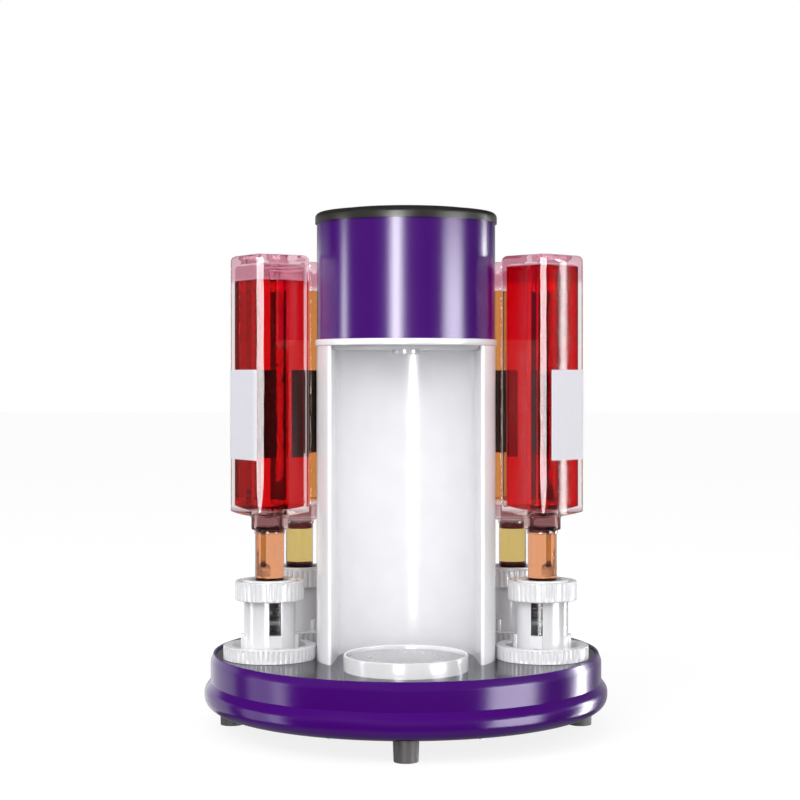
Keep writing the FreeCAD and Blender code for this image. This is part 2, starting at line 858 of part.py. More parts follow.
def topCap():
    cap = lathe("capBody", [
        ("0", "upperTop"),
        ("upperBore - seatGap - upperWall", "upperTop"),
        ("upperBore - seatGap - upperWall", "upperTop - capSkirt"),
        ("upperBore - seatGap - stackGap", "upperTop - capSkirt"),
        ("upperBore - seatGap - stackGap", "upperTop"),
        ("capRadius", "upperTop"),
        ("capRadius", "capTop"),
        ("padRadius + seatGap", "capTop"),
        ("padRadius + seatGap", "capTop - padSink"),
        ("0", "capTop - padSink"),
    ], [("capRadius", "capTop", "capRound")])
    keep("top_cap", place(cap, y="-columnShift"))
    pad = lathe("padBody", [
        ("0", "capTop - padSink"),
        ("padRadius", "capTop - padSink"),
        ("padRadius", "capTop + padRise"),
        ("0", "capTop + padRise"),
    ], [("padRadius", "capTop + padRise", "padRound")])
    keep("control_pad", place(pad, y="-columnShift"))


def onBoard(name, x, y, width, length, low, height):
    """Part on the control board, its middle at (x, y) about the column axis."""
    return block(name, (f"{x} - {width} / 2", f"{x} + {width} / 2"),
                 (f"{y} - {length} / 2", f"{y} + {length} / 2"), (low, f"{low} + {height}"))


def controlBoard():
    low = "collarTop + standoffHeight"
    top = f"{low} + boardThickness"
    board = onBoard("board", "boardOffset", "0", "boardWidth", "boardLength", low, "boardThickness")
    chip = onBoard("chip", "boardOffset", "0", "chipSide", "chipSide", top, "chipHeight")
    relays = [onBoard("relay", "boardOffset + boardWidth / 4", f"relayShift + {k} * relayPitch",
                      "relayWidth", "relayLength", top, "relayHeight") for k in range(2)]
    plug = onBoard("plugSocket", "boardOffset", "-plugShift", "plugWidth", "plugLength", top, "plugHeight")
    keep("control_board", place(join("boardFilled", board, chip, plug, *relays), y="-columnShift"))


# ---- drip tray ----

def dripTray():
    tray = lathe("tray", [
        ("0", "deckTop"),
        ("trayRadius", "deckTop"),
        ("trayRadius", "trayTop"),
        ("trayRadius - trayWall", "trayTop"),
        ("trayRadius - trayWall", "trayFloor"),
        ("dripRing", "trayFloor"),
        ("dripRing", "dripLow"),
        ("dripRing - trayWall", "dripLow"),
        ("dripRing - trayWall", "trayFloor"),
        ("0", "trayFloor"),
    ], [
        ("trayRadius", "trayTop", "trayRound"),
        ("trayRadius - trayWall", "trayTop", "trayRound"),
    ])
    keep("drip_tray", place(tray, y="-trayReach"))


def dripPlate():
    body = add("PartDesign::Body", "drip")
    disc = circleSketch(body, "dripDisc", "XY_Plane", [("0", "0", "dripRadius")])
    pad = body.newObject("PartDesign::Pad", "dripPad")
    pad.Profile = disc
    bind(pad, Length="dripThickness")
    hole = circleSketch(body, "dripHole", "XY_Plane", [("slotCircle", "0", "slotRadius")])
    pocket = body.newObject("PartDesign::Pocket", "dripPocket")
    pocket.Profile = hole
    pocket.Type = "ThroughAll"
    pocket.Reversed = True
    doc.recompute()
    ring = body.newObject("PartDesign::PolarPattern", "dripHoles")
    ring.Originals = [pocket]
    ring.Axis = (disc, ["N_Axis"])
    ring.Angle = 360
    bind(ring, Occurrences="slotCount")
    body.Tip = ring
    place(body, y="-trayReach", z="dripLow")
    keep("drip_plate", body)


# ---- bottle stations ----

def docks():
    """Fixed docking plates with their ports through the deck."""
    plates = []
    for n in range(STATIONS):
        plate = lathe("dock", [
            ("boreRadius", "barbLow - barbLength"),
            ("barbRadius", "barbLow - barbLength"),
            ("barbRadius", "barbLow"),
            ("dockSpigot", "barbLow"),
            ("dockSpigot", "deckTop"),
            ("dockRadius", "deckTop"),
            ("dockRadius", "dockTop"),
            ("nippleRadius", "dockTop"),
            ("nippleRadius", "nippleTop"),
            ("pinRadius", "nippleTop"),
            ("pinRadius", "valveTail - pinGap"),
            ("boreRadius", "valveTail - pinGap"),
        ])
        plates.append(atStation(plate, n))
    keep("docks", group("dockSet", plates))


def lockRing(n):
    ring = lathe("ring", [
        ("ringBore + ringStep", "deckTop"),
        ("ringRadius", "deckTop"),
        ("ringRadius", "deckTop + ringHeight"),
        ("ringBore", "deckTop + ringHeight"),
        ("ringBore", "dockTop + stackGap"),
        ("ringBore + ringStep", "dockTop + stackGap"),
    ], [
        ("ringRadius", "deckTop + ringHeight", "ringRound"),
        ("ringBore", "deckTop + ringHeight", "ringRound"),
    ])
    keep(f"lock_ring_{n + 1}", atStation(ring, n))


def socket(n):
    """Bottle socket: a windowed cup with a valve seat, posts and latches."""
    cup = lathe("cup", [
        ("nippleRadius + stackGap", "dockTop"),
        ("socketRadius", "dockTop"),
        ("socketRadius", "socketRim"),
        ("neckRadius + neckLip + neckGap", "socketRim"),
        ("neckRadius + neckLip + neckGap", "socketRim - guideThickness"),
        ("socketBore", "socketRim - guideThickness - socketWall"),
        ("socketBore", "seatLevel"),
        ("seatBore", "seatLevel"),
        ("seatBore", "seatUnder"),
        ("socketBore", "seatUnder"),
        ("socketBore", "webTop"),
        ("stemRadius + stemGap", "webTop"),
        ("stemRadius + stemGap", "dockTop + webLow"),
        ("nippleRadius + stackGap", "dockTop + webLow"),
    ])
    wide = "windowWidth / 2"
    window = block("window", ("-socketRadius - 1", "socketRadius + 1"), (f"-{wide}", wide),
                   ("dockTop + windowLow", "dockTop + windowHigh"))
    core = drum("windowCore", "socketBore", "dockTop", "socketRim")
    drains = [drum("drain", "drainRadius", "dockTop + webLow", "webTop",
                   f"drainCircle * sin({120 * k})", f"drainCircle * cos({120 * k})") for k in range(3)]
    extras = []
    for side in ("", "-"):
        for turn in ("postAngle", "(-postAngle)"):
            x = f"{side}socketRadius * cos({turn})"
            y = f"{side}socketRadius * sin({turn})"
            extras.append(drum("post", "postRadius", "dockTop", "dockTop + postHeight", x, y))
        extras.append(latch(side))
    outside = drum("latchCore", "socketRadius - socketWall / 2", "dockTop", "socketRim")
    details = cut("details", join("detailSet", *extras), outside)
    body = cut("cupOpen", cup, cut("windowCut", window, core), *drains)
    keep(f"socket_{n + 1}", atStation(join("socketJoined", body, details), n))


def latch(side):
    """Latch block with two round knobs under one window."""
    reach = "(socketRadius + latchDepth)"
    x = ("socketRadius - latchDepth", reach) if not side else (f"-{reach}", "latchDepth - socketRadius")
    half = "latchWidth / 2"
    plate = block("latchPlate", x, (f"-{half}", half),
                  ("dockTop + latchLow", "dockTop + windowLow"))
    knobs = [drum("knob", "knobRadius", "dockTop + latchLow - knobRise", "dockTop + latchLow",
                  f"{side}({reach} - knobRadius)",
                  f"{sign}knobSpread") for sign in ("", "-")]
    return join("latch", plate, *knobs)


def clampNut(n):
    nut = lathe("nut", [
        ("socketRadius + runningGap", "nutUnder"),
        ("nutRadius", "nutUnder"),
        ("nutRadius", "nutTopLevel"),
        ("grooveOuter", "nutTopLevel"),
        ("grooveOuter", "nutTopLevel - grooveDepth"),
        ("beadOuter", "nutTopLevel - grooveDepth"),
        ("beadOuter", "nutTopLevel + beadHeight"),
        ("beadInner", "nutTopLevel + beadHeight"),
        ("beadInner", "nutTopLevel"),
        ("nutBore", "nutTopLevel"),
        ("nutBore", "socketRim"),
        ("socketRadius + runningGap", "socketRim"),
    ], [
        ("nutRadius", "nutTopLevel", "nutRound"),
        ("nutRadius", "nutUnder", "nutRound"),
    ])
    keep(f"clamp_nut_{n + 1}", atStation(nut, n))


def bottleForm(name, inset, low, top, neck):
    """Solid bottle form: a rounded square bar inside a turned neck and shoulder."""
    half = f"(bottleSide / 2 - {inset})"
    bar = block(name + "Bar", (f"-{half}", half), (f"-{half}", half), (low, top))

    def uprightEdge(edge):
        return edge.BoundBox.XLength + edge.BoundBox.YLength < 0.01

    bar = rounded(name + "Corners", bar, f"bottleCorner - {inset}", uprightEdge)
    reach = f"(bottleSide * 0.75 - {inset})"
    turned = lathe(name + "Turned", [
        ("0", low),
        *neck,
        (reach, f"bodyLow + {inset}"),
        (reach, top),
        ("0", top),
    ])
    return common(name, bar, turned)


def bottle(n):
    """Inverted square bottle, its mouth resting on the valve seat."""
    outer = bottleForm("bottleOuter", "0", "seatLevel", "bottleTop", [
        ("neckRadius", "seatLevel"),
        ("neckRadius", "shoulderLow"),
        ("neckCollar", "shoulderLow"),
        ("neckCollar", "collarHigh"),
    ])
    doc.recompute()

    def heelEdge(edge):
        box = edge.BoundBox
        return abs(box.ZMin - value("bottleTop")) < 0.01 and abs(box.ZMax - value("bottleTop")) < 0.01

    outer = rounded("bottleHeel", outer, "heelRound", heelEdge)
    lip = drum("bottleLip", "neckRadius + neckLip", "shoulderLow - neckLipHeight", "shoulderLow")
    inner = bottleForm("bottleInner", "bottleWall", "seatLevel", "bottleTop - bottleWall * 1.5", [
        ("neckBore", "seatLevel"),
        ("neckBore", "collarHigh + bottleWall"),
    ])
    glass = cut("bottleGlass", join("bottleLipped", outer, lip), inner)
    side = 1 if n < STATIONS // 2 else -1 if n > STATIONS // 2 else 0
    turn = "lastBottleAngle" if n == STATIONS - 1 else "bottleAngle"
    keep(f"bottle_{n + 1}", atStation(glass, n, f"{side} * {turn}"))


def valve(n):
    """Drip-stop plunger: stem, spring flange and the disc on its seat."""
    plunger = lathe("plunger", [
        ("0", "valveTail"),
        ("stemRadius", "valveTail"),
        ("stemRadius", "webTop + stackGap"),
        ("flangeRadius", "webTop + stackGap"),
        ("flangeRadius", "webTop + stackGap + flangeThickness"),
        ("stemRadius", "webTop + stackGap + flangeThickness"),
        ("stemRadius", "seatLevel"),
        ("valveRadius", "seatLevel"),
        ("stemRadius", "seatLevel + valveHeight"),
        ("0", "seatLevel + valveHeight"),
    ])
    keep(f"valve_{n + 1}", atStation(plunger, n))


def spring(n):
    sleeve = lathe("springSleeve", [
        ("springRadius - springWire", "webTop + stackGap + flangeThickness"),
        ("springRadius", "webTop + stackGap + flangeThickness"),
        ("springRadius", "seatUnder"),
        ("springRadius - springWire", "seatUnder"),
    ])
    keep(f"valve_spring_{n + 1}", atStation(sleeve, n))


# ---- pumps and tubes ----

def pumps():
    motors = []
    heads = []
    loops = []
    for n in range(STATIONS):
        can = drumForward("motorCan", "motorRadius", "motorStart", "headStart", z="pumpAxis")
        bore = drumForward("motorBore", "shaftRadius + shaftGap", "headStart - shaftGrip - rotorGap",
                           "headStart", z="pumpAxis")
        motors.append(spun(cut("motor", can, bore), n))
        heads.append(spun(pumpHead(), n))
        ring = add("Part::Torus", "loop")
        ring.Placement = Placement(Vector(), front)
        bind(ring, Radius1="loopCircle", Radius2="loopTube", Angle3="loopAngle")
        place(ring, y="-(headStart + headEnd) / 2", z="pumpAxis")
        loops.append(spun(group("loopHeld", [ring]), n))
    keep("pump_motors", group("motorSet", motors))
    keep("pump_heads", group("headSet", heads))
    keep("pump_loops", group("loopSet", loops))


def pumpHead():
    """Round pump housing with a suction barb in front and an outlet on top."""
    can = drumForward("headCan", "headRadius", "headStart", "headEnd", z="pumpAxis")
    room = drumForward("headRoom", "headRadius - headWall", "headStart + headWall",
                       "headEnd - headWall", z="pumpAxis")
    hole = drumForward("headHole", "shaftRadius + shaftGap", "headStart", "headStart + headWall",
                       z="pumpAxis")
    suction = drumForward("suction", "barbRadius", "headEnd", "headEnd + barbLength",
                          z="pumpAxis - inletDrop")
    outlet = drum("outlet", "barbRadius", "pumpAxis", "pumpAxis + headRadius + outletRise",
                  "outletShift", "-headEnd + headWall * 2")
    shell = cut("headShell", join("headSolid", can, suction, outlet), room, hole)
    ways = [drumForward("suctionWay", "boreRadius", "headEnd - headWall", "headEnd + barbLength",
                        z="pumpAxis - inletDrop"),
            drum("outletWay", "boreRadius", "pumpAxis", "pumpAxis + headRadius + barbLength",
                 "outletShift", "-headEnd + headWall * 2")]
    return cut("headBored", shell, *ways)


def rotor(n):
    """Pump rotor: shaft, two cheeks and three rollers between them."""
    near, far = "headStart + headWall + rotorGap", "headEnd - headWall - rotorGap"
    parts = [drumForward("shaft", "shaftRadius", "headStart - shaftGrip", far, z="pumpAxis"),
             drumForward("hub", "hubRadius", near, far, z="pumpAxis"),
             drumForward("cheek", "rollerCircle", near, f"{near} + cheekThickness", z="pumpAxis"),
             drumForward("cheek", "rollerCircle", f"{far} - cheekThickness", far, z="pumpAxis")]
    for k in range(ROLLERS):
        turn = 360 / ROLLERS * k
        parts.append(drumForward("roller", "rollerRadius", near, far,
                                 f"rollerCircle * sin({turn})", f"pumpAxis + rollerCircle * cos({turn})"))
    keep(f"pump_rotor_{n + 1}", spun(join("rotor", *parts), n))


def around(n, out, side, height):
    """Point at a distance out from the base axis towards station n."""
    turn = math.radians(value(stationTurn(n)))
    return Vector(out * math.sin(turn) + side * math.cos(turn),
                  -out * math.cos(turn) + side * math.sin(turn), height)


def tubes():
    """Suction hoses from the docks to the pumps, and risers to the nozzle."""
    suction = []
    risers = []
    axis = value("pumpAxis")
    dock = value("stationRadius")
    seat = value("barbLow") - value("screwGap")
    low = axis - value("inletDrop")
    for n in range(STATIONS):
        suction.append(tube("suctionHose", [
            around(n, dock, 0, seat),
            around(n, dock, 0, low),
            around(n, value("headEnd") + value("screwGap"), 0, low),
        ], [value("tubeBend")]))
        risers.append(riser(n, axis))
    keep("suction_tubes", group("suctionSet", suction))
    keep("riser_tubes", group("riserSet", risers))


def riser(n, axis):
    """Hose from one pump, up the chimney and down onto the nozzle."""
    order = (-1, -2, 0, 2, 1)[n]
    across = order * value("riserPitch")
    back = value("chimneyReach - columnShift")
    level, top = value("riserLevel"), value("riserTop")
    turn = 2 * math.pi * (0.5 + order / STATIONS)
    circle = value("topBarbCircle")
    ahead = -value("columnShift + nozzleReach")
    start = around(n, value("headEnd - headWall * 2"), value("outletShift"),
                   axis + value("headRadius + screwGap"))
    end = Vector(circle * math.sin(turn), ahead - circle * math.cos(turn),
                 value("stemTop + screwGap"))
    points = [start, Vector(start.x, start.y, level), Vector(across, back, level),
              Vector(across, back, top), Vector(end.x, end.y, top), end]
    small, large = value("riserBend"), value("topBend")
    return tube("riser", points, [small, small, large, large * 0.8])


# ---- power inlet and switch ----

def rearPanel():
    room = "(switchWidth / 2 + switchGap)"
    tall = "(switchHeight / 2 + seatGap * 2)"
    plate = block("panelPlate", ("-panelWidth / 2", "panelWidth / 2"), ("panelBack", "baseRadius"),
                  ("panelLow", "panelHigh"))
    hug = drum("panelHug", "panelFront", "panelLow", "panelHigh")
    hole = block("switchHole", (f"-inletShift - {room}", f"-inletShift + {room}"),
                 ("panelBack", "baseRadius"), (f"panelMid - {tall}", f"panelMid + {tall}"))
    pivot = drum("pivotHole", "pivotRadius + shaftGap", f"panelMid - {tall} - pivotLength",
                 f"panelMid + {tall} + pivotLength", "-inletShift", "panelBack + panelThickness / 2")
    jack = drumBack("jackHole", "jackRadius + screwGap", "panelBack", "baseRadius", "inletShift", "panelMid")
    panel = cut("panel", common("panelCurved", plate, hug), hole, pivot, jack)
    keep("rear_panel", panel)


def drumBack(name, radius, start, end, x, z):
    """Cylinder that lies along +Y from start to end."""
    item = add("Part::Cylinder", name)
    item.Placement = Placement(Vector(), Rotation(Vector(1, 0, 0), -90))
    bind(item, Radius=radius, Height=f"({end}) - ({start})")
    return place(item, x, start, z)


def powerSwitch():
    """Rocker on two pivot pins, its face just proud of the panel."""
    half = "(switchWidth / 2)"
    tall = "(switchHeight / 2)"
    body = block("rocker", (f"-inletShift - {half}", f"-inletShift + {half}"),
                 ("panelBack", "panelFront + switchProud"), (f"panelMid - {tall}", f"panelMid + {tall}"))
    pins = drum("pivotPins", "pivotRadius", f"panelMid - {tall} - pivotLength",
                f"panelMid + {tall} + pivotLength", "-inletShift", "panelBack + panelThickness / 2")
    keep("power_switch", join("switch", body, pins))


def powerJack():
    spot = ("inletShift", "panelMid")
    mouth = "panelFront - jackInset"
    barrel = drumBack("jackBarrel", "jackRadius", f"{mouth} - jackLength", mouth, *spot)
    bore = drumBack("jackBore", "jackBore", f"{mouth} - jackDepth", mouth, *spot)
    flange = drumBack("jackFlange", "jackFlange", "panelBack - jackFlangeThickness", "panelBack", *spot)
    pin = drumBack("jackPin", "jackPin", f"{mouth} - jackDepth", f"{mouth} - jackPinInset", *spot)
    keep("power_jack", join("jack", cut("jackSleeve", join("jackSolid", barrel, flange), bore), pin))


baseShell()
deckPlate()
basePlate()
rubberFeet()
screws()
columnShell()
collarDisc()
ceilingPanel()
nozzle()
upperShell()
topCap()
controlBoard()
dripTray()
dripPlate()
docks()
for n in range(STATIONS):
    lockRing(n)
    socket(n)
    clampNut(n)
    bottle(n)
    valve(n)
    spring(n)
    rotor(n)
pumps()
tubes()
rearPanel()
powerSwitch()
powerJack()

doc.recompute()

for item in doc.Objects:
    bad = [state for state in item.State if state in ("Invalid", "Error")]
    if bad:
        raise RuntimeError(f"{item.Name} ({item.Label}) is {bad}")
for label, item in pieces.items():
    if item.Shape.isNull() or not item.Shape.isValid():
        raise RuntimeError(f"{label} has no valid shape")

os.makedirs("parts", exist_ok=True)
for label, item in pieces.items():
    item.Shape.exportStep(f"parts/{label}.step")
print(len(pieces), "pieces written")
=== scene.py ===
import json
import math

import bmesh
import bpy
from mathutils import Matrix, Vector

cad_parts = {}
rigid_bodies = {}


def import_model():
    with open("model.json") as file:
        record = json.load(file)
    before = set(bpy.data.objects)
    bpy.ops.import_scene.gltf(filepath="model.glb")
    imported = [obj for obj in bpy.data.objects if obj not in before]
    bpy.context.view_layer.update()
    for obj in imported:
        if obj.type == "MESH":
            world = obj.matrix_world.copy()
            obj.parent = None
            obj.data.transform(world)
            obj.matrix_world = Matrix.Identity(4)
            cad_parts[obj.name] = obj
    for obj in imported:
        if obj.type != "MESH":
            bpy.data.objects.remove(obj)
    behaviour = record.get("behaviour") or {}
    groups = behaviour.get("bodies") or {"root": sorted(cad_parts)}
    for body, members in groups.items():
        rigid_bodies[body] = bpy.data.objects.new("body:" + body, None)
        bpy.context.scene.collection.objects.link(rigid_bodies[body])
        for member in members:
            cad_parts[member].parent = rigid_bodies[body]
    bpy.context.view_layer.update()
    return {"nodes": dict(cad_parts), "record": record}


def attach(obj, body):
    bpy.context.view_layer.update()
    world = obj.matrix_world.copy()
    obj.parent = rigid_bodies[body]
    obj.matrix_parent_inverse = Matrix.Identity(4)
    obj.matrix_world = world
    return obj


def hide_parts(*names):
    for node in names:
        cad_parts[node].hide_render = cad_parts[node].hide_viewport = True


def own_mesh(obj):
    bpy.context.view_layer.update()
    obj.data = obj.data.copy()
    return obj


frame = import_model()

# Dresses the shot dispenser. Lengths in the dictionaries are in millimetres where no other unit is named.
mm = 0.001
bodyOf = {node: body for body, nodes in frame["record"]["behaviour"]["bodies"].items() for node in nodes}
slotOf = {entry["node"]: entry["material_slot"] for entry in frame["record"]["subparts"]}

# turns in degrees: "first" is station 1's way round from the front, "bottleTurns" each bottle's about itself
stations = {"count": 5, "radius": 139.0, "first": 73.4, "bottleTurns": [16.0, 16.0, 0.0, -16.0, -31.0]}
weld = {"points": 1e-6, "solidPoints": 2e-6, "solidEdges": 1e-7}  # metres


# nodes and finishes

def feedSocket(tree, socket, value):
    # a socket takes a plain value or a link from another node
    if isinstance(value, bpy.types.NodeSocket):
        tree.links.new(value, socket)
    else:
        socket.default_value = value


def addNode(tree, kind, settings=None, **feeds):
    # new node with its settings and inputs; _ stands for a space in an input's name
    node = tree.nodes.new(kind)
    for name, value in (settings or {}).items():
        setattr(node, name, value)
    for name, value in feeds.items():
        feedSocket(tree, node.inputs[name.replace("_", " ")], value)
    return node


def mathNode(tree, kind, *values):
    node = addNode(tree, "ShaderNodeMath", {"operation": kind})
    for socket, value in zip(node.inputs, values):
        feedSocket(tree, socket, value)
    return node.outputs[0]


def newMaterial(name):
    material = bpy.data.materials.new(name)
    material.use_nodes = True
    material.node_tree.nodes.clear()
    return material


def driftTint(tree, drift, color, vary):
    # ramp between a darker and a paler tone of one colour
    tint = addNode(tree, "ShaderNodeValToRGB", Fac=drift)
    for stop, share in zip(tint.color_ramp.elements, (1 - vary, 1 + vary)):
        stop.color = [min(1, c * share) for c in color] + [1]
    return tint


solidLook = {"detail": 3.0, "tintStops": (0.3, 0.7), "wear": 0.25, "reliefDepth": 0.0005}
clearLook = {"vary": 0.03, "grain": 20.0, "stepHalf": 3.0, "coatIor": 1.3}


def finishMaterial(name, color, rough=0.3, metal=0.0, vary=0.06, grain=60.0, bump=0.02, fine=900.0,
                   stretch=(1, 1, 1), **sockets):
    # solid finish: a slow colour drift, a little wear in the gloss and a fine surface grain
    material = newMaterial(name)
    tree = material.node_tree
    place = addNode(tree, "ShaderNodeTexCoord").outputs["Object"]
    spot = addNode(tree, "ShaderNodeMapping", Vector=place, Scale=stretch).outputs["Vector"]
    drift = addNode(tree, "ShaderNodeTexNoise", Vector=spot, Scale=grain,
                    Detail=solidLook["detail"]).outputs["Fac"]
    speck = addNode(tree, "ShaderNodeTexNoise", Vector=spot, Scale=fine).outputs["Fac"]
    tint = driftTint(tree, drift, color, vary)
    for stop, position in zip(tint.color_ramp.elements, solidLook["tintStops"]):
        stop.position = position
    wear = addNode(tree, "ShaderNodeMapRange", Value=drift, To_Min=rough * (1 - solidLook["wear"]),
                   To_Max=rough * (1 + solidLook["wear"]))
    relief = addNode(tree, "ShaderNodeBump", Strength=bump, Distance=solidLook["reliefDepth"], Height=speck)
    shader = addNode(tree, "ShaderNodeBsdfPrincipled", Base_Color=tint.outputs["Color"], Metallic=metal,
                     Roughness=wear.outputs["Result"], Normal=relief.outputs["Normal"], **sockets)
    addNode(tree, "ShaderNodeOutputMaterial", Surface=shader.outputs["BSDF"])
    return material


def clearMaterial(name, color, rough, ior, above=(), gloss=1.0, coat=0.0):
    # see-through finish with a slow drift; each (height, colour) in above changes its tint from there up
    material = newMaterial(name)
    tree = material.node_tree
    place = addNode(tree, "ShaderNodeTexCoord").outputs["Object"]
    drift = addNode(tree, "ShaderNodeTexNoise", Vector=place, Scale=clearLook["grain"]).outputs["Fac"]
    shown = driftTint(tree, drift, color, clearLook["vary"]).outputs["Color"]
    if above:
        height = addNode(tree, "ShaderNodeSeparateXYZ", Vector=place).outputs["Z"]
    for level, tone in above:
        step = addNode(tree, "ShaderNodeMapRange", Value=height,
                       From_Min=(level - clearLook["stepHalf"]) * mm,
                       From_Max=(level + clearLook["stepHalf"]) * mm)
        mix = addNode(tree, "ShaderNodeMix", {"data_type": "RGBA"}, Factor=step.outputs["Result"],
                      A=shown, B=(*tone, 1))
        shown = mix.outputs["Result"]
    shader = addNode(tree, "ShaderNodeBsdfPrincipled", Base_Color=shown, Transmission_Weight=1.0,
                     Roughness=rough, IOR=ior, Specular_Tint=(gloss, gloss, gloss, 1), Coat_Weight=coat,
                     Coat_IOR=clearLook["coatIor"])
    addNode(tree, "ShaderNodeOutputMaterial", Surface=shader.outputs["BSDF"])
    return material


solidSettings = {
    "purpleLacquer": dict(color=(0.064, 0.001, 0.185), rough=0.2, vary=0.03, grain=9, bump=0.01, fine=240,
                          Specular_IOR_Level=0.36),
    "deckMetal": dict(color=(0.27, 0.27, 0.285), rough=0.12, metal=1.0, vary=0.05, grain=40, bump=0.02,
                      fine=500, stretch=(1, 6, 1), Specular_Tint=(0.6, 0.6, 0.62, 1)),
    "trayMetal": dict(color=(0.66, 0.66, 0.67), rough=0.6, metal=1.0, vary=0.04, grain=40, bump=0.02,
                      fine=500),
    "whiteGloss": dict(color=(0.84, 0.84, 0.86), rough=0.2, vary=0.02, grain=30, bump=0.015, fine=700),
    "ceilingGrey": dict(color=(0.62, 0.62, 0.64), rough=0.4, vary=0.04, bump=0.05),
    "capSatin": dict(color=(0.022, 0.021, 0.017), rough=0.34, vary=0.08, bump=0.08, fine=1400,
                     Specular_IOR_Level=0.4),
    "padBlack": dict(color=(0.012, 0.014, 0.012), rough=0.3, vary=0.1, bump=0.04),
    "darkPlastic": dict(color=(0.035, 0.035, 0.04), rough=0.5, vary=0.12, bump=0.15, fine=1600),
    "footRubber": dict(color=(0.07, 0.066, 0.062), rough=0.55, vary=0.1, bump=0.2, fine=1200),
    "zincSteel": dict(color=(0.4, 0.4, 0.42), rough=0.5, metal=1.0, vary=0.1, bump=0.1),
    "motorSteel": dict(color=(0.5, 0.5, 0.52), rough=0.35, metal=1.0, vary=0.08, bump=0.1,
                       stretch=(1, 1, 8)),
    "pumpPlastic": dict(color=(0.06, 0.06, 0.07), rough=0.4, vary=0.1, bump=0.1),
    "hoseSilicone": dict(color=(0.75, 0.73, 0.7), rough=0.35, vary=0.05, bump=0.05,
                         Subsurface_Weight=0.2),
    "boardGreen": dict(color=(0.02, 0.14, 0.06), rough=0.35, vary=0.2, grain=300, bump=0.1),
    "blackGloss": dict(color=(0.012, 0.012, 0.013), rough=0.18, vary=0.15, bump=0.03),
    "valvePlastic": dict(color=(0.06, 0.06, 0.065), rough=0.4, vary=0.1, bump=0.08),
    "springSteel": dict(color=(0.62, 0.62, 0.6), rough=0.22, metal=1.0, vary=0.08, bump=0.05),
    "labelPaper": dict(color=(0.82, 0.81, 0.88), rough=0.6, vary=0.02, grain=400, bump=0.1, fine=2500),
    # near-black sheet under the label paper: painted shade, the dark the label's back shows through the drink
    "labelPaintedShade": dict(color=(0.03, 0.02, 0.02), rough=0.7, vary=0.1, grain=400, bump=0.1, fine=2500),
    "tickInk": dict(color=(0.2, 0.2, 0.22), rough=0.5, vary=0.1, bump=0.02),
    "keyGrey": dict(color=(0.3, 0.31, 0.32), rough=0.45, vary=0.06, bump=0.02),
}
clearSettings = {
    # the glass is darker round the lip and pinker at the top, where its base is thick
    "bottleGlass": dict(color=(0.88, 0.8, 0.81), rough=0.02, ior=1.1, coat=1.0,
                        above=[(199.0, (0.5, 0.32, 0.33)), (218.0, (0.88, 0.8, 0.81)),
                               (440.0, (0.74, 0.48, 0.55))]),
    "redDrink": dict(color=(0.78, 0.003, 0.006), rough=0.02, ior=1.3, gloss=0.2),
    "amberDrink": dict(color=(0.76, 0.36, 0.09), rough=0.02, ior=1.3, gloss=0.3),
    # near-black drink: a dark band under the shoulder, and low in the neck painted shade that stands for the
    # clamp nut's dark bore
    "darkBandAndPaintedShade": dict(color=(0.1, 0.02, 0.02), rough=0.02, ior=1.34, gloss=0.3),
    "copperNeck": dict(color=(0.98, 0.52, 0.25), rough=0.05, ior=1.38, gloss=0.5),
    "paleNeck": dict(color=(0.8, 0.72, 0.24), rough=0.05, ior=1.38, gloss=0.5),
    "sightPane": dict(color=(0.5, 0.51, 0.52), rough=0.2, ior=1.45),
}
finishes = {name: finishMaterial(name, **look) for name, look in solidSettings.items()}
finishes.update({name: clearMaterial(name, **look) for name, look in clearSettings.items()})
finishOf = {  # by material slot; the bottles' solids are replaced by glass further down
    "purple_shell": "purpleLacquer", "deck_metal": "deckMetal", "dark_plastic": "darkPlastic",
    "foot_rubber": "footRubber", "screw_steel": "zincSteel", "white_plastic": "whiteGloss",
    "ceiling_plastic": "ceilingGrey", "cap_plastic": "capSatin", "pad_plastic": "padBlack",
    "board_laminate": "boardGreen", "black_plastic": "blackGloss", "motor_steel": "motorSteel",
    "pump_plastic": "pumpPlastic", "hose_silicone": "hoseSilicone", "valve_plastic": "valvePlastic",
    "spring_steel": "springSteel", "bottle_glass": "whiteGloss",
}
print("stage: finishes made")


# meshes and pieces

def newObject(name, mesh):
    item = bpy.data.objects.new(name, mesh)
    bpy.context.scene.collection.objects.link(item)
    return item


def stationTurn(n):
    # turn of station n about the base axis, in degrees from the front
    return -stations["first"] - n * (360 - 2 * stations["first"]) / (stations["count"] - 1)


def stationPlace(n, extra=0.0):
    turn = math.radians(stationTurn(n))
    spot = Vector((math.sin(turn), -math.cos(turn), 0)) * stations["radius"] * mm
    return Matrix.Translation(spot) @ Matrix.Rotation(turn + math.radians(extra), 4, "Z")


def meshFrom(name, points, faces, place):
    # points in millimetres about the piece's own axis
    mesh = bpy.data.meshes.new(name)
    mesh.from_pydata([Vector(p) * mm for p in points], [], faces)
    work = bmesh.new()
    work.from_mesh(mesh)
    bmesh.ops.remove_doubles(work, verts=work.verts, dist=weld["points"])
    bmesh.ops.recalc_face_normals(work, faces=work.faces)
    work.to_mesh(mesh)
    work.free()
    mesh.transform(place)
    return mesh


def roundCorners(outline, radii, steps):
    # outline with an arc in place of each corner that radii names by its index
    made = []
    for i, corner in enumerate(outline):
        radius = radii.get(i)
        if not radius:
            made.append(corner)
            continue
        here = Vector(corner)
        back = (Vector(outline[i - 1]) - here).normalized()
        ahead = (Vector(outline[(i + 1) % len(outline)]) - here).normalized()
        half = back.angle(ahead) / 2
        middle = here + (back + ahead).normalized() * (radius / math.sin(half))
        start = here + back * (radius / math.tan(half)) - middle
        end = here + ahead * (radius / math.tan(half)) - middle
        sweep = start.angle_signed(end)
        for s in range(steps + 1):
            spun = Matrix.Rotation(-sweep * s / steps, 2) @ start
            made.append(tuple(middle + spun))
    return made


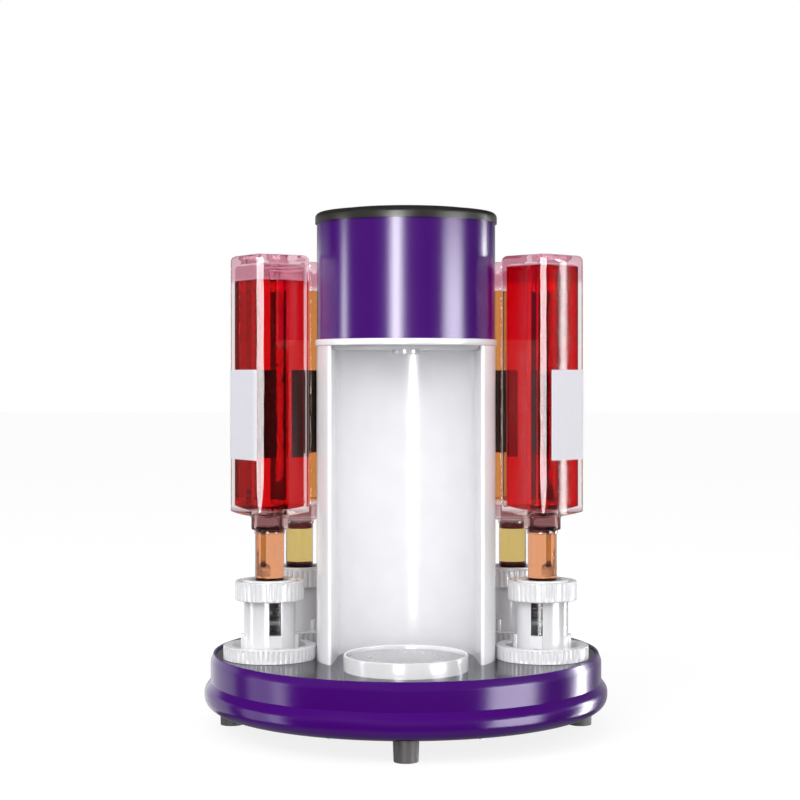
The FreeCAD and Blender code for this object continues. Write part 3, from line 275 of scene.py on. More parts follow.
def latheMesh(name, outline, segments, place):
    # closed outline of (radius, height), clear of the axis, turned about it
    points, faces = [], []
    rows = len(outline)
    for s in range(segments):
        a = 2 * math.pi * s / segments
        points += [(r * math.cos(a), r * math.sin(a), z) for r, z in outline]
        here, ahead = s * rows, (s + 1) % segments * rows
        for i in range(rows):
            j = (i + 1) % rows
            faces.append((here + i, ahead + i, ahead + j, here + j))
    return meshFrom(name, points, faces, place)


def sheetFaces(count):
    # closed skin over four rows of points: near low, near high, far low and far high
    faces = []
    for i in range(count - 1):
        a, b, c, d = i, i + count, i + 2 * count, i + 3 * count
        faces += [(a, a + 1, b + 1, b), (c, d, d + 1, c + 1), (a, c, c + 1, a + 1), (b, b + 1, d + 1, d)]
    for i in (0, count - 1):
        faces.append((i, i + count, i + 3 * count, i + 2 * count))
    return faces


def addPiece(name, mesh, node, finish, crease=None, replaced=False):
    # last step of every piece: shading, finish, body and whether it stands for its node
    if crease:
        mesh.shade_smooth()
        mesh.set_sharp_from_angle(angle=math.radians(crease))
    mesh.materials.clear()
    mesh.materials.append(finishes[finish])
    item = newObject(name, mesh)
    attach(item, bodyOf[node])
    if replaced:
        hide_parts(node)
    return item


def newTree(name, inputs):
    # geometry tree with named inputs; gives the tree, the inputs' identifiers and their sockets
    tree = bpy.data.node_groups.new(name, "GeometryNodeTree")
    ids = {}
    for label, kind in inputs.items():
        socket = tree.interface.new_socket(name=label, in_out="INPUT", socket_type="NodeSocket" + kind)
        ids[label] = socket.identifier
    tree.interface.new_socket(name="Geometry", in_out="OUTPUT", socket_type="NodeSocketGeometry")
    return tree, ids, addNode(tree, "NodeGroupInput").outputs


def endTree(tree, given, shape):
    # every tree ends in real geometry with its finish
    real = addNode(tree, "GeometryNodeRealizeInstances", Geometry=shape)
    paint = addNode(tree, "GeometryNodeSetMaterial", Geometry=real.outputs[0], Material=given["Finish"])
    addNode(tree, "NodeGroupOutput", Geometry=paint.outputs[0])


def bakeTree(item, tree, ids, settings):
    # runs a tree on an object and gives back the plain mesh
    modifier = item.modifiers.new(tree.name, "NODES")
    modifier.node_group = tree
    for label, amount in settings.items():
        modifier[ids[label]] = amount
    item.update_tag()
    graph = bpy.context.evaluated_depsgraph_get()
    made = bpy.data.meshes.new_from_object(item.evaluated_get(graph))
    item.modifiers.clear()
    bpy.data.objects.remove(item)
    return made


# pieces that keep the solid's shape, with clean shading

smoothed = {"crease": 28, "nodes": [
    "base_shell", "deck_plate", "base_plate", "rubber_feet", "column", "collar_disc", "ceiling_panel", "nozzle",
    "upper_shell", "top_cap", "control_pad", "rear_panel", "power_jack", "power_switch", "drip_tray",
    "drip_plate", "docks", "case_screws"]}
smoothed["nodes"] += [f"socket_{n + 1}" for n in range(stations["count"])]
ownFinish = {"drip_plate": "trayMetal"}  # paler than its slot's deck metal


def smoothCopy(node):
    mesh = frame["nodes"][node].data.copy()
    work = bmesh.new()
    work.from_mesh(mesh)
    bmesh.ops.remove_doubles(work, verts=work.verts, dist=weld["solidPoints"])
    bmesh.ops.dissolve_degenerate(work, edges=work.edges, dist=weld["solidEdges"])
    work.to_mesh(mesh)
    work.free()
    stale = mesh.attributes.get("custom_normal")
    if stale:
        mesh.attributes.remove(stale)
    addPiece(node + "_dressed", mesh, node, ownFinish.get(node, finishOf[slotOf[node]]), smoothed["crease"],
             replaced=True)


for node in smoothed["nodes"]:
    smoothCopy(node)
for node, item in frame["nodes"].items():
    for holder in item.material_slots:
        holder.material = finishes[finishOf[slotOf[node]]]
print("stage: solids dressed")


# fluted rings

lockRing = {"rim": 45.2, "bore": 36.0, "step": 38.0, "low": 72.4, "high": 86.0, "shelf": 77.7, "round": 1.4,
            "foot": 0.5, "flutes": 54, "fluteDepth": 1.0, "fluteLow": 73.0, "fluteHigh": 85.4,
            "sharpness": 3.0, "roundSteps": 6, "segments": 432}
clampNut = {"rim": 33.6, "under": 130.0, "top": 148.5, "seat": 145.5, "bore": 25.2, "hole": 17.5,
            "round": 1.2, "grooveRound": 0.4, "beadRound": 0.6, "beadInner": 19.5, "beadOuter": 26.0,
            "beadTop": 149.7, "grooveOuter": 29.0, "grooveDepth": 1.4, "flutes": 38, "fluteDepth": 1.1,
            "fluteLow": 130.4, "fluteHigh": 148.0, "sharpness": 3.5, "roundSteps": 4, "segments": 380}
fluting = {"rimFade": 2.2, "endFade": 1.0, "wallRows": 6, "crease": 40}


def flutingTree():
    # presses soft grooves into the rim of a ring
    sizes = ("Flutes", "Depth", "Rim", "Low", "High", "Sharpness")
    tree, ids, given = newTree("fluting", {"Geometry": "Geometry", **{name: "Float" for name in sizes},
                                           "Finish": "Material"})

    def sums(kind, *values):
        return mathNode(tree, kind, *values)

    def fade(value, start, end):
        return addNode(tree, "ShaderNodeMapRange", Value=value, From_Min=start,
                       From_Max=end).outputs["Result"]

    position = addNode(tree, "GeometryNodeInputPosition").outputs[0]
    x, y, z = addNode(tree, "ShaderNodeSeparateXYZ", Vector=position).outputs
    rim, low, high = given["Rim"], given["Low"], given["High"]
    reach = sums("SQRT", sums("ADD", sums("MULTIPLY", x, x), sums("MULTIPLY", y, y)))
    wave = sums("COSINE", sums("MULTIPLY", sums("ARCTAN2", y, x), given["Flutes"]))
    groove = sums("POWER", sums("MULTIPLY_ADD", wave, 0.5, 0.5), given["Sharpness"])
    atRim = fade(reach, sums("SUBTRACT", rim, fluting["rimFade"] * mm), rim)
    above = fade(z, low, sums("ADD", low, fluting["endFade"] * mm))
    below = fade(z, high, sums("SUBTRACT", high, fluting["endFade"] * mm))
    depth = sums("MULTIPLY", sums("MULTIPLY", groove, given["Depth"]),
                 sums("MULTIPLY", atRim, sums("MULTIPLY", above, below)))
    shrink = sums("DIVIDE", sums("MULTIPLY", depth, -1.0), reach)
    offset = addNode(tree, "ShaderNodeCombineXYZ", X=sums("MULTIPLY", x, shrink),
                     Y=sums("MULTIPLY", y, shrink))
    move = addNode(tree, "GeometryNodeSetPosition", Geometry=given["Geometry"], Offset=offset.outputs[0])
    endTree(tree, given, move.outputs[0])
    return tree, ids


def wallRows(low, high, radius):
    # points up the outer wall, so that the grooves can fade at both ends
    count = fluting["wallRows"]
    return [(radius, low + (high - low) * k / count) for k in range(1, count)]


def lockRingOutline(p):
    wall = wallRows(p["low"], p["high"] - p["round"], p["rim"])
    outline = [(p["step"], p["low"]), (p["rim"] - p["foot"], p["low"]), (p["rim"], p["low"] + p["foot"])] + wall
    corner = len(outline)
    outline += [(p["rim"], p["high"]), (p["bore"], p["high"]), (p["bore"], p["shelf"]), (p["step"], p["shelf"])]
    return roundCorners(outline, {corner: p["round"], corner + 1: p["round"]}, p["roundSteps"])


def clampNutOutline(p):
    wall = wallRows(p["under"] + p["round"], p["top"] - p["round"], p["rim"])
    outline = [(p["bore"], p["under"]), (p["rim"], p["under"])] + wall
    corner = len(outline)
    groove = p["top"] - p["grooveDepth"]
    outline += [(p["rim"], p["top"]), (p["grooveOuter"], p["top"]), (p["grooveOuter"], groove),
                (p["beadOuter"], groove), (p["beadOuter"], p["beadTop"]), (p["beadInner"], p["beadTop"]),
                (p["beadInner"], p["top"]), (p["hole"], p["top"]), (p["hole"], p["seat"]),
                (p["bore"], p["seat"])]
    return roundCorners(outline, {1: p["round"], corner: p["round"], corner + 1: p["grooveRound"],
                                  corner + 4: p["beadRound"], corner + 5: p["beadRound"]},
                        p["roundSteps"])


flutes, fluteIds = flutingTree()


def flutedRing(name, outline, p, node, n):
    plain = newObject(name, latheMesh(name, outline, p["segments"], Matrix()))
    made = bakeTree(plain, flutes, fluteIds, {
        "Flutes": float(p["flutes"]), "Depth": p["fluteDepth"] * mm, "Rim": p["rim"] * mm,
        "Low": p["fluteLow"] * mm, "High": p["fluteHigh"] * mm, "Sharpness": p["sharpness"],
        "Finish": finishes["whiteGloss"]})
    made.transform(stationPlace(n))
    addPiece(name, made, node, "whiteGloss", fluting["crease"], replaced=True)


for n in range(stations["count"]):
    flutedRing(f"lock_ring_fluted_{n + 1}", lockRingOutline(lockRing), lockRing, f"lock_ring_{n + 1}", n)
    flutedRing(f"clamp_nut_fluted_{n + 1}", clampNutOutline(clampNut), clampNut, f"clamp_nut_{n + 1}", n)
print("stage: fluted rings made")


# bottles, drinks and labels

bottle = {"mouth": 111.0, "neck": 14.2, "neckWall": 1.6, "neckBend": 3.0, "shoulder": 198.0,
          "shoulderBend": 1.5, "collarReach": 18.0, "collar": 211.0, "body": 217.0, "top": 465.5, "side": 60.0,
          "corner": 7.0, "leastCorner": 1.0, "cornerShare": 0.5, "wall": 5.5, "heel": 5.0, "base": 8.25,
          "soft": 1.2, "pastCorners": 0.75,  # of the side: a circle of this reach clears the body's corners
          "lipRow": 1.0, "bodyRow": 6.0, "heelRow": 3.0, "dimple": 0.4, "dimpleShare": 0.7,
          "bendSteps": {"outer": 5, "inner": 6}, "heelSteps": {"outer": 8, "inner": 6}, "slopeSteps": 14,
          "points": 128, "crease": 50}
lip = {"low": 194.0, "reach": 1.0, "sunk": 0.6, "round": 0.9, "roundSteps": 4, "segments": 96, "crease": 40}
# darkTop tops the dark band under the shoulder; below neckLow the neck holds painted shade, the clamp nut's
# bore shadow
drinks = {"levels": [441.0, 436.0, 441.0, 436.0, 455.0], "overlap": 0.12, "bodyLow": 216.6,
          "darkTop": [201.3, 196.1, 196.1, 196.1, 201.3], "neckTop": [195.5, 189.0, 189.0, 189.0, 195.5],
          "neckLow": [151.0, 154.5, 154.5, 154.5, 151.0], "seam": 0.3, "overMouth": 9.0,
          "body": ["redDrink", "amberDrink", "redDrink", "amberDrink", "redDrink"],
          "neck": ["copperNeck", "paleNeck", "copperNeck", "paleNeck", "copperNeck"]}
# back is the thickness of the painted-shade sheet under the paper
label = {"low": 267.0, "high": 354.0, "gap": 0.1, "back": 0.12, "thickness": 0.4,
         "behind": [0.85, 0.85, 0.85, 0.6, 0.6],  # share of the side face that it covers
         "starts": [-5.0, -5.0, -5.0, -5.0, 4.0],  # from the front corner; below zero it starts round it
         "flatSteps": 24, "cornerSteps": 8, "startSteps": 6}


def squareReach(angle, half, corner):
    # distance from the axis to a rounded square's edge
    c, s = abs(math.cos(angle)), abs(math.sin(angle))
    c, s = max(c, s), min(c, s)
    flat = half / c
    if flat * s <= half - corner:
        return flat
    k = half - corner
    b = k * (c + s)
    return b + math.sqrt(max(b * b - (2 * k * k - corner * corner), 0))


def bottleRing(reach, z, p, inset, shrink=0.0):
    # one level of the bottle: a circle of the given reach, cut softly by the body's rounded square
    half = p["side"] / 2 - inset - shrink
    corner = max(p["corner"] - inset - shrink * p["cornerShare"], p["leastCorner"])
    soft = p["soft"]
    ring = []
    for i in range(p["points"]):
        a = 2 * math.pi * i / p["points"]
        square = squareReach(a, half, corner)
        blend = min(max(0.5 + 0.5 * (square - reach) / soft, 0), 1)
        r = square * (1 - blend) + reach * blend - soft * blend * (1 - blend) * 0.5
        ring.append((r * math.cos(a), r * math.sin(a), z))
    return ring


def stackRings(rings, closeStart=False, closeEnd=False):
    points, faces = [], []
    size, last = len(rings[0]), len(rings) - 1
    for ring in rings:
        points += ring
    for k in range(last):
        for i in range(size):
            j = (i + 1) % size
            faces.append((k * size + i, k * size + j, (k + 1) * size + j, (k + 1) * size + i))
    for close, k in ((closeStart, 0), (closeEnd, last)):
        if close:
            middle = len(points)
            points.append((0, 0, rings[k][0][2]))
            for i in range(size):
                faces.append((middle, k * size + i, k * size + (i + 1) % size))
    return points, faces


def bottleProfile(p, inset, top):
    # (reach, height) from the mouth to the top, close together where the form turns
    wide = p["side"] * p["pastCorners"] - inset
    if inset:
        neck = p["neck"] - p["neckWall"] * inset / p["wall"]
        low = roundCorners([(neck, p["mouth"]), (neck, p["collar"] + inset), (wide, p["body"] + inset)],
                           {1: p["neckBend"]}, p["bendSteps"]["inner"])
    else:
        low = roundCorners([(p["neck"], p["mouth"]), (p["neck"], lip["low"] - p["lipRow"]),
                            (p["neck"], p["shoulder"]), (p["collarReach"], p["shoulder"]),
                            (p["collarReach"], p["collar"]), (wide, p["body"])],
                           {3: p["shoulderBend"], 4: p["neckBend"]}, p["bendSteps"]["outer"])
    start, end = low[-2], low[-1]
    steps = p["slopeSteps"]
    slope = [(start[0] + (end[0] - start[0]) * k / steps, start[1] + (end[1] - start[1]) * k / steps)
             for k in range(1, steps)]
    return low[:-1] + slope + [end, (wide, end[1] + p["bodyRow"]), (wide, (end[1] + top) / 2),
                               (wide, top - p["heelRow"]), (wide, top)]


def roundedTop(p, inset, top, steps):
    # the bottle's rounded heel, turned upwards
    rings = []
    for k in range(1, steps + 1):
        turn = math.pi / 2 * k / steps
        drop, shrink = p["heel"] * (1 - math.sin(turn)), p["heel"] * (1 - math.cos(turn))
        rings.append(bottleRing(p["side"] * p["pastCorners"] - inset, top - drop, p, inset, shrink))
    return rings


def bottleMesh(n, p):
    # outer and inner skin, joined round the mouth
    outer = [bottleRing(r, z, p, 0.0) for r, z in bottleProfile(p, 0.0, p["top"] - p["heel"])]
    outer += roundedTop(p, 0.0, p["top"], p["heelSteps"]["outer"])
    outer.append([(x * p["dimpleShare"], y * p["dimpleShare"], z - p["dimple"]) for x, y, z in outer[-1]])
    innerTop = p["top"] - p["base"]
    inner = [bottleRing(r, z, p, p["wall"]) for r, z in bottleProfile(p, p["wall"], innerTop - p["heel"])]
    inner += roundedTop(p, p["wall"], innerTop, p["heelSteps"]["inner"])
    points, faces = stackRings(outer, closeEnd=True)
    innerPoints, innerFaces = stackRings(inner, closeEnd=True)
    shift = len(points)
    points += innerPoints
    faces += [tuple(v + shift for v in reversed(face)) for face in innerFaces]
    for i in range(p["points"]):
        j = (i + 1) % p["points"]
        faces.append((i, shift + i, shift + j, j))
    return meshFrom(f"bottle_glass_{n + 1}", points, faces, stationPlace(n, stations["bottleTurns"][n]))


def lipMesh(n, p, q):
    inner, outer = p["neck"] - q["sunk"], p["neck"] + q["reach"]
    outline = [(inner, q["low"]), (outer, q["low"]), (outer, p["shoulder"]), (inner, p["shoulder"])]
    outline = roundCorners(outline, {1: q["round"], 2: q["round"]}, q["roundSteps"])
    return latheMesh(f"bottle_lip_{n + 1}", outline, q["segments"], stationPlace(n))


def reachAt(profile, height):
    for (a, low), (b, high) in zip(profile, profile[1:]):
        if low <= height <= high and high > low:
            return a + (b - a) * (height - low) / (high - low)
    return profile[-1][0]


def drinkMesh(n, p, low, high, name):
    # fills the bottle from low to high, a little into its wall so that no film of air shows
    grown = p["wall"] - drinks["overlap"]
    profile = bottleProfile(p, grown, p["top"])
    levels = [(reachAt(profile, low), low)] + [(r, z) for r, z in profile if low < z < high]
    levels.append((reachAt(profile, high), high))
    points, faces = stackRings([bottleRing(r, z, p, grown) for r, z in levels], closeStart=True, closeEnd=True)
    return meshFrom(name, points, faces, stationPlace(n, stations["bottleTurns"][n]))


def labelPath(n, p, q):
    # level path of the paper: round the front corner, over the outer face and part of the face behind it
    side = -1 if stations["bottleTurns"][n] >= 0 else 1
    half, corner = p["side"] / 2, p["corner"]
    flat = half - corner
    start, first = q["starts"][n], max(q["starts"][n], 0)
    path = []
    if start < 0:
        for k in range(q["startSteps"]):
            a = start / corner * (1 - k / q["startSteps"])
            path.append((-side * (flat - corner * math.sin(a)), -half + corner - corner * math.cos(a)))
    for k in range(q["flatSteps"] + 1):
        path.append((side * (-flat + first + k / q["flatSteps"] * (2 * flat - first)), -half))
    for k in range(1, q["cornerSteps"] + 1):
        a = math.pi / 2 * k / q["cornerSteps"]
        path.append((side * (flat + corner * math.sin(a)), -half + corner - corner * math.cos(a)))
    for k in range(1, q["flatSteps"] + 1):
        path.append((side * half, -flat + k / q["flatSteps"] * 2 * flat * q["behind"][n]))
    return path


def labelMesh(n, p, q, name, near, far):
    # the path given a thickness, from near to far outside the glass
    path = labelPath(n, p, q)
    points = []
    for depth in (near, far):
        for z in (q["low"], q["high"]):
            for i, (x, y) in enumerate(path):
                before, after = path[max(i - 1, 0)], path[min(i + 1, len(path) - 1)]
                way = (Vector(after) - Vector(before)).normalized()
                out = Vector((way.y, -way.x))
                if out.dot(Vector((x, y))) < 0:
                    out = -out
                points.append((x + out.x * depth, y + out.y * depth, z))
    return meshFrom(name, points, sheetFaces(len(path)), stationPlace(n, stations["bottleTurns"][n]))


for n in range(stations["count"]):
    node = f"bottle_{n + 1}"
    addPiece(f"bottle_glass_{n + 1}", bottleMesh(n, bottle), node, "bottleGlass", bottle["crease"],
             replaced=True)
    addPiece(f"bottle_lip_{n + 1}", lipMesh(n, bottle, lip), node, "bottleGlass", lip["crease"])
    seam = drinks["seam"]
    # the lowest fill is painted shade, the dark of the clamp nut's bore given as dark drink
    fills = (("bottle_drink", drinks["bodyLow"], drinks["levels"][n], drinks["body"][n]),
             ("bottle_dregs", drinks["neckTop"][n] + seam, drinks["darkTop"][n], "darkBandAndPaintedShade"),
             ("bottle_neck", drinks["neckLow"][n] + seam, drinks["neckTop"][n], drinks["neck"][n]),
             ("bottle_dregs_low", bottle["mouth"] + drinks["overMouth"], drinks["neckLow"][n], "darkBandAndPaintedShade"))
    for name, low, high, finish in fills:
        name = f"{name}_{n + 1}"
        addPiece(name, drinkMesh(n, bottle, low, high, name), node, finish, bottle["crease"])
    # a near-black sheet under the paper paints the shade on the label's back
    film = label["gap"] + label["back"]
    for name, near, far, finish in (("bottle_label", film, film + label["thickness"], "labelPaper"),
                                    ("bottle_label_back", label["gap"], film, "labelPaintedShade")):
        name = f"{name}_{n + 1}"
        addPiece(name, labelMesh(n, bottle, label, name, near, far), node, finish, bottle["crease"])
print("stage: bottles filled")


# springs and sight windows

spring = {"radius": 7.05, "wire": 0.6, "low": 94.9, "high": 106.4, "turns": 4.0, "turnSteps": 28,
          "wireSides": 10, "keep": 0.68, "anchor": 0.107, "crease": 60}  # the anchor is in metres
sight = {"radius": 24.3, "wall": 0.8, "half": 5.6, "low": 97.8, "high": 128.4, "steps": 10, "crease": 40}
ticks = {"count": 7, "wide": 3.2, "high": 0.45, "deep": 0.5, "out": 0.1, "aside": 2.2, "low": 103.0,
         "step": 3.4}


def coilTree():
    # round wire along a helix
    sizes = ("Radius", "Wire", "Height", "Turns", "Start")
    tree, ids, given = newTree("coil", {**{name: "Float" for name in sizes}, "Finish": "Material"})
    helix = addNode(tree, "GeometryNodeCurveSpiral", Resolution=spring["turnSteps"], Height=given["Height"],
                    Start_Radius=given["Radius"], End_Radius=given["Radius"], Rotations=given["Turns"])
    ring = addNode(tree, "GeometryNodeCurvePrimitiveCircle", Resolution=spring["wireSides"],
                   Radius=given["Wire"])
    sweep = addNode(tree, "GeometryNodeCurveToMesh", Curve=helix.outputs[0], Profile_Curve=ring.outputs[0],
                    Fill_Caps=True)
    rise = addNode(tree, "ShaderNodeCombineXYZ", Z=given["Start"])
    lift = addNode(tree, "GeometryNodeTransform", Geometry=sweep.outputs[0], Translation=rise.outputs[0])
    endTree(tree, given, lift.outputs[0])
    return tree, ids


def tickTree():
    # short bars, evenly spaced up a window
    tree, ids, given = newTree("ticks", {"Count": "Int", "Start": "Vector", "Step": "Vector",
                                         "Size": "Vector", "Finish": "Material"})
    line = addNode(tree, "GeometryNodeMeshLine", Count=given["Count"], Start_Location=given["Start"],
                   Offset=given["Step"])
    bar = addNode(tree, "GeometryNodeMeshCube", Size=given["Size"])
    copies = addNode(tree, "GeometryNodeInstanceOnPoints", Points=line.outputs[0], Instance=bar.outputs[0])
    endTree(tree, given, copies.outputs[0])
    return tree, ids


coils, coilIds = coilTree()
tickBars, tickIds = tickTree()


def emptyItem(name):
    return newObject(name, bpy.data.meshes.new(name))


def addSpring(n, p):
    place = stationPlace(n)
    wound = bakeTree(emptyItem(f"coil_{n}"), coils, coilIds, {
        "Radius": p["radius"] * mm, "Wire": p["wire"] * mm, "Height": (p["high"] - p["low"]) * mm,
        "Turns": p["turns"], "Start": p["low"] * mm, "Finish": finishes["springSteel"]})
    wound.transform(place)
    item = addPiece(f"valve_coil_{n + 1}", wound, f"valve_spring_{n + 1}", "springSteel", p["crease"],
                    replaced=True)
    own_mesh(item)


def addPane(n, side, tag, p):
    # thin curved window between the socket's window edges
    name = f"sight_pane_{tag}_{n + 1}"
    spread = math.asin(p["half"] / p["radius"])
    points = []
    for radius in (p["radius"], p["radius"] - p["wall"]):
        for z in (p["low"], p["high"]):
            for k in range(p["steps"] + 1):
                a = -spread + 2 * spread * k / p["steps"]
                points.append((side * radius * math.cos(a), radius * math.sin(a), z))
    pane = meshFrom(name, points, sheetFaces(p["steps"] + 1), stationPlace(n))
    addPiece(name, pane, f"socket_{n + 1}", "sightPane", p["crease"])


def addTicks(n, side, tag, p):
    face = (sight["radius"] + p["out"]) * side
    marks = bakeTree(emptyItem(f"ticks_{n}"), tickBars, tickIds, {
        "Count": p["count"], "Start": (face * mm, p["aside"] * mm, p["low"] * mm),
        "Step": (0, 0, p["step"] * mm), "Size": (p["deep"] * mm, p["wide"] * mm, p["high"] * mm),
        "Finish": finishes["tickInk"]})
    marks.transform(stationPlace(n))
    addPiece(f"sight_ticks_{tag}_{n + 1}", marks, f"socket_{n + 1}", "tickInk")


for n in range(stations["count"]):
    addSpring(n, spring)
    for side, tag in ((1, "a"), (-1, "b")):
        addPane(n, side, tag, sight)
        addTicks(n, side, tag, ticks)
print("stage: springs and sight windows made")


# control pad marks

padMarks = {"axis": (0.0, -38.0), "circle": 38.0, "keyRadius": 8.0, "wall": 1.0, "middle": 14.0,
            "top": 509.0, "sink": 0.35, "segments": 64}


def markMesh(name, radius, p, place):
    inner, low = radius - p["wall"], p["top"] - p["sink"]
    outline = [(inner, low), (radius, low), (radius, p["top"]), (inner, p["top"])]
    return latheMesh(name, outline, p["segments"], place)


def padRingTree():
    # copies one ring mark to the corners of a polygon
    tree, ids, given = newTree("padRings", {"Mark": "Geometry", "Count": "Int", "Circle": "Float",
                                            "Finish": "Material"})
    circle = addNode(tree, "GeometryNodeMeshCircle", Vertices=given["Count"], Radius=given["Circle"])
    copies = addNode(tree, "GeometryNodeInstanceOnPoints", Points=circle.outputs[0], Instance=given["Mark"])
    endTree(tree, given, copies.outputs[0])
    return tree, ids


padRings, padIds = padRingTree()
padPlace = Matrix.Translation((padMarks["axis"][0] * mm, padMarks["axis"][1] * mm, 0))
oneMark = newObject("oneMark", markMesh("oneMark", padMarks["keyRadius"], padMarks, Matrix()))
keys = bakeTree(oneMark, padRings, padIds, {"Count": stations["count"], "Circle": padMarks["circle"] * mm,
                                            "Finish": finishes["keyGrey"]})
keys.transform(padPlace)
addPiece("pad_key_marks", keys, "control_pad", "keyGrey")
addPiece("pad_middle_mark", markMesh("pad_middle_mark", padMarks["middle"], padMarks, padPlace), "control_pad",
         "keyGrey")
print("stage: pad marks made")


# studio, in metres

studio = {"floorSize": 30.0, "floorColor": (0.22, 0.22, 0.22), "floorGlow": 0.84, "plain": 0.6,
          "aim": (0.0, -0.04), "fillHeight": 0.25}
# what the gloss sees: (from, to, strength) along the way to the wall behind, upwards and downwards
room = {"behind": (0.78, 0.95, 0.3), "over": (0.12, 0.4, 1.0), "below": (0.3, 0.7, 0.45), "dim": 0.03}
view = {"lens": 81.0, "sensor": 36.0, "shiftX": -0.0075, "shiftY": -0.03125, "clipEnd": 50.0,
        "place": (0.0, -1.8, 0.349)}


def backdrop():
    # white paper to the eye and through the glass, which still takes the shadow
    mesh = bpy.data.meshes.new("studioFloor")
    half = studio["floorSize"] / 2
    mesh.from_pydata([(-half, -half, 0), (half, -half, 0), (half, half, 0), (-half, half, 0)], [],
                     [(0, 1, 2, 3)])
    floor = newObject("studioFloor", mesh)
    material = newMaterial("floorPaper")
    tree = material.node_tree
    path = addNode(tree, "ShaderNodeLightPath").outputs
    seen = mathNode(tree, "MAXIMUM", path["Is Camera Ray"], path["Is Transmission Ray"])
    strength = mathNode(tree, "MULTIPLY", seen, studio["floorGlow"])
    lit = addNode(tree, "ShaderNodeBsdfDiffuse", Color=(*studio["floorColor"], 1))
    glow = addNode(tree, "ShaderNodeEmission", Color=(1, 1, 1, 1), Strength=strength)
    both = addNode(tree, "ShaderNodeAddShader")
    for socket, part in zip(both.inputs, (lit, glow)):
        feedSocket(tree, socket, part.outputs[0])
    addNode(tree, "ShaderNodeOutputMaterial", Surface=both.outputs[0])
    mesh.materials.append(material)
    floor.visible_glossy = False


def worldLight():
    # white to the eye; for the gloss a dim room with a pale wall far behind and a pale floor
    world = bpy.data.worlds.new("studioWorld")
    bpy.context.scene.world = world
    world.use_nodes = True
    tree = world.node_tree
    tree.nodes.clear()

    def sums(kind, *values):
        return mathNode(tree, kind, *values)

    def ramp(value, span):
        start, end, top = span
        return addNode(tree, "ShaderNodeMapRange", {"interpolation_type": "SMOOTHSTEP"}, Value=value,
                       From_Min=start, From_Max=end, To_Max=top).outputs["Result"]

    path = addNode(tree, "ShaderNodeLightPath").outputs
    way = addNode(tree, "ShaderNodeTexCoord").outputs["Generated"]
    x, y, z = addNode(tree, "ShaderNodeSeparateXYZ", Vector=way).outputs
    behind = sums("MULTIPLY", ramp(y, room["behind"]), sums("SUBTRACT", 1.0, ramp(z, room["over"])))
    below = ramp(sums("MULTIPLY", z, -1.0), room["below"])
    mirrored = sums("MAXIMUM", behind, sums("MAXIMUM", below, room["dim"]))
    white = sums("MAXIMUM", path["Is Camera Ray"], path["Is Transmission Ray"])
    gloss = sums("MULTIPLY", path["Is Glossy Ray"], mirrored)
    plain = sums("SUBTRACT", 1.0, sums("MAXIMUM", white, path["Is Glossy Ray"]))
    total = sums("ADD", sums("MAXIMUM", white, gloss), sums("MULTIPLY", plain, studio["plain"]))
    back = addNode(tree, "ShaderNodeBackground", Color=(1, 1, 1, 1), Strength=total)
    addNode(tree, "ShaderNodeOutputWorld", Surface=back.outputs[0])


# (low, high, distance) of the upright lamps, and the pieces that some of them light alone or spare
spans = {"front": (-0.6, 0.9, 2.6), "side": (-0.9, 0.66, 2.4), "fill": (0.3, 1.9, 2.6), "top": (1.4, 3.0, 2.4)}
pale = (0.97, 0.96, 1)
glassy = ("bottle_glass", "bottle_drink", "bottle_dregs", "bottle_neck")
coated = ("base_shell",)
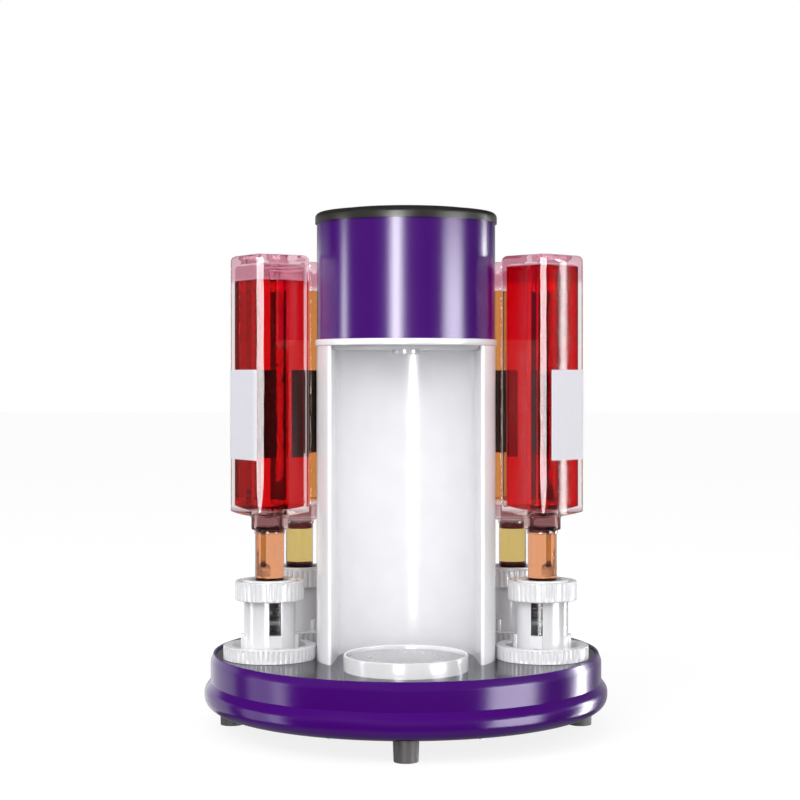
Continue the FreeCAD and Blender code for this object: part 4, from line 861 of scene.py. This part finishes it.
# name, azimuth, width, span, watts and the rest; azimuth 0 is at the camera's side, positive to the right
lamps = (
    ("stripFront", -12, 0.42, spans["front"], 78, dict(spare=coated + glassy)),
    ("stripFrontEdge", -12, 0.85, spans["front"], 50, dict(spare=coated + glassy + ("column",))),
    ("stripRight", 61, 0.8, spans["side"], 95, dict(tone=pale, spare=coated + glassy)),
    ("stripRightEdge", 61, 1.3, spans["side"], 85, dict(tone=pale, spare=glassy)),
    ("stripLeft", -83.5, 0.3, spans["side"], 26, dict(tone=pale, spare=coated + glassy)),
    ("stripLeftEdge", -83.5, 0.55, spans["side"], 12, dict(tone=pale, spare=coated + glassy)),
    ("bandLeft", -74, 0.35, spans["side"], 6, dict(tone=pale, only=coated)),
    ("bandLeftEdge", -84, 1.3, spans["side"], 12, dict(tone=pale, only=coated)),
    ("stripFarRight", 118, 0.35, spans["side"], 36, dict(tone=pale, spare=glassy)),
    ("stripFarRightEdge", 117, 0.8, spans["side"], 16, dict(tone=pale, spare=glassy)),
    ("wallLeft", -137, 2.2, spans["side"], 11, dict(spare=glassy)),
    ("wallRight", 145, 1.6, spans["side"], 2, dict(spare=glassy)),
    ("cornerGloss", 0, 4.0, (0.09, 1.7, 1.7), 640, dict(only=("bottle_glass",))),
    ("bandGloss", 88.3, 0.013, (-0.6, 0.9, 2.4), 1.6, dict(only=("bottle_glass_5",))),
    ("topGloss", -35, 1.6, spans["top"], 26, dict(spare=("base_shell", "upper_shell", "top_cap"))),
    ("keyTop", -35, 1.6, spans["top"], 26, dict(sees="diffuse", spare=("column",))),
    ("fillRight", 55, 1.4, spans["fill"], 12, dict(sees="diffuse")),
    ("fillLeft", -60, 1.4, spans["fill"], 12, dict(sees="diffuse")),
    ("fillFront", 0, 2.4, (-0.4, 2.0, 2.6), 24, dict(sees="diffuse")),
    ("columnFill", 0, 4.0, (-0.4, 1.2, 2.4), 30,
     dict(sees="diffuse", only=("column", "ceiling", "collar"))),
    ("nicheTop", 0, 0.3, (0.32, 0.52, 0.6), 0.9, dict(sees="diffuse", only=("column", "ceiling"))),
)


def receivers(name, prefixes):
    # the pieces that a lamp lights alone or leaves out, by the start of their names
    lit = bpy.data.collections.new(name + "Receivers")
    for piece in bpy.context.scene.collection.objects:
        if piece.type == "MESH" and piece.name.startswith(prefixes):
            lit.objects.link(piece)
    return lit


def softbox(name, azimuth, width, span, watts, tone=(1, 1, 1), sees="gloss", only=(), spare=()):
    low, high, distance = span
    data = bpy.data.lights.new(name, "AREA")
    data.shape = "RECTANGLE"
    data.size, data.size_y = width, high - low
    data.energy = watts
    data.color = tone
    item = newObject(name, data)
    a = math.radians(azimuth)
    centre = (low + high) / 2
    item.location = (math.sin(a) * distance, -math.cos(a) * distance, centre)
    aim = Vector((*studio["aim"], centre if sees == "gloss" else studio["fillHeight"])) - item.location
    item.rotation_euler = aim.to_track_quat("-Z", "Y").to_euler()
    item.visible_camera = False
    item.visible_transmission = False
    item.visible_diffuse = sees != "gloss"
    item.visible_volume_scatter = sees != "gloss"
    item.visible_glossy = sees != "diffuse"
    if only or spare:
        lit = receivers(name, only or spare)
        item.light_linking.receiver_collection = lit
        if spare:
            for entry in lit.collection_objects:
                entry.light_linking.link_state = "EXCLUDE"


def addCamera():
    camera = bpy.data.cameras.new("camera")
    camera.lens = view["lens"]
    camera.sensor_width = view["sensor"]
    camera.shift_x, camera.shift_y = view["shiftX"], view["shiftY"]
    camera.clip_end = view["clipEnd"]
    eye = newObject("camera", camera)
    eye.location = view["place"]
    eye.rotation_euler = (math.radians(90), 0, 0)
    bpy.context.scene.camera = eye


backdrop()
worldLight()
for name, azimuth, width, span, watts, rest in lamps:
    softbox(name, azimuth, width, span, watts, **rest)
addCamera()
bpy.context.scene.view_settings.view_transform = "Standard"
print("stage: studio set")
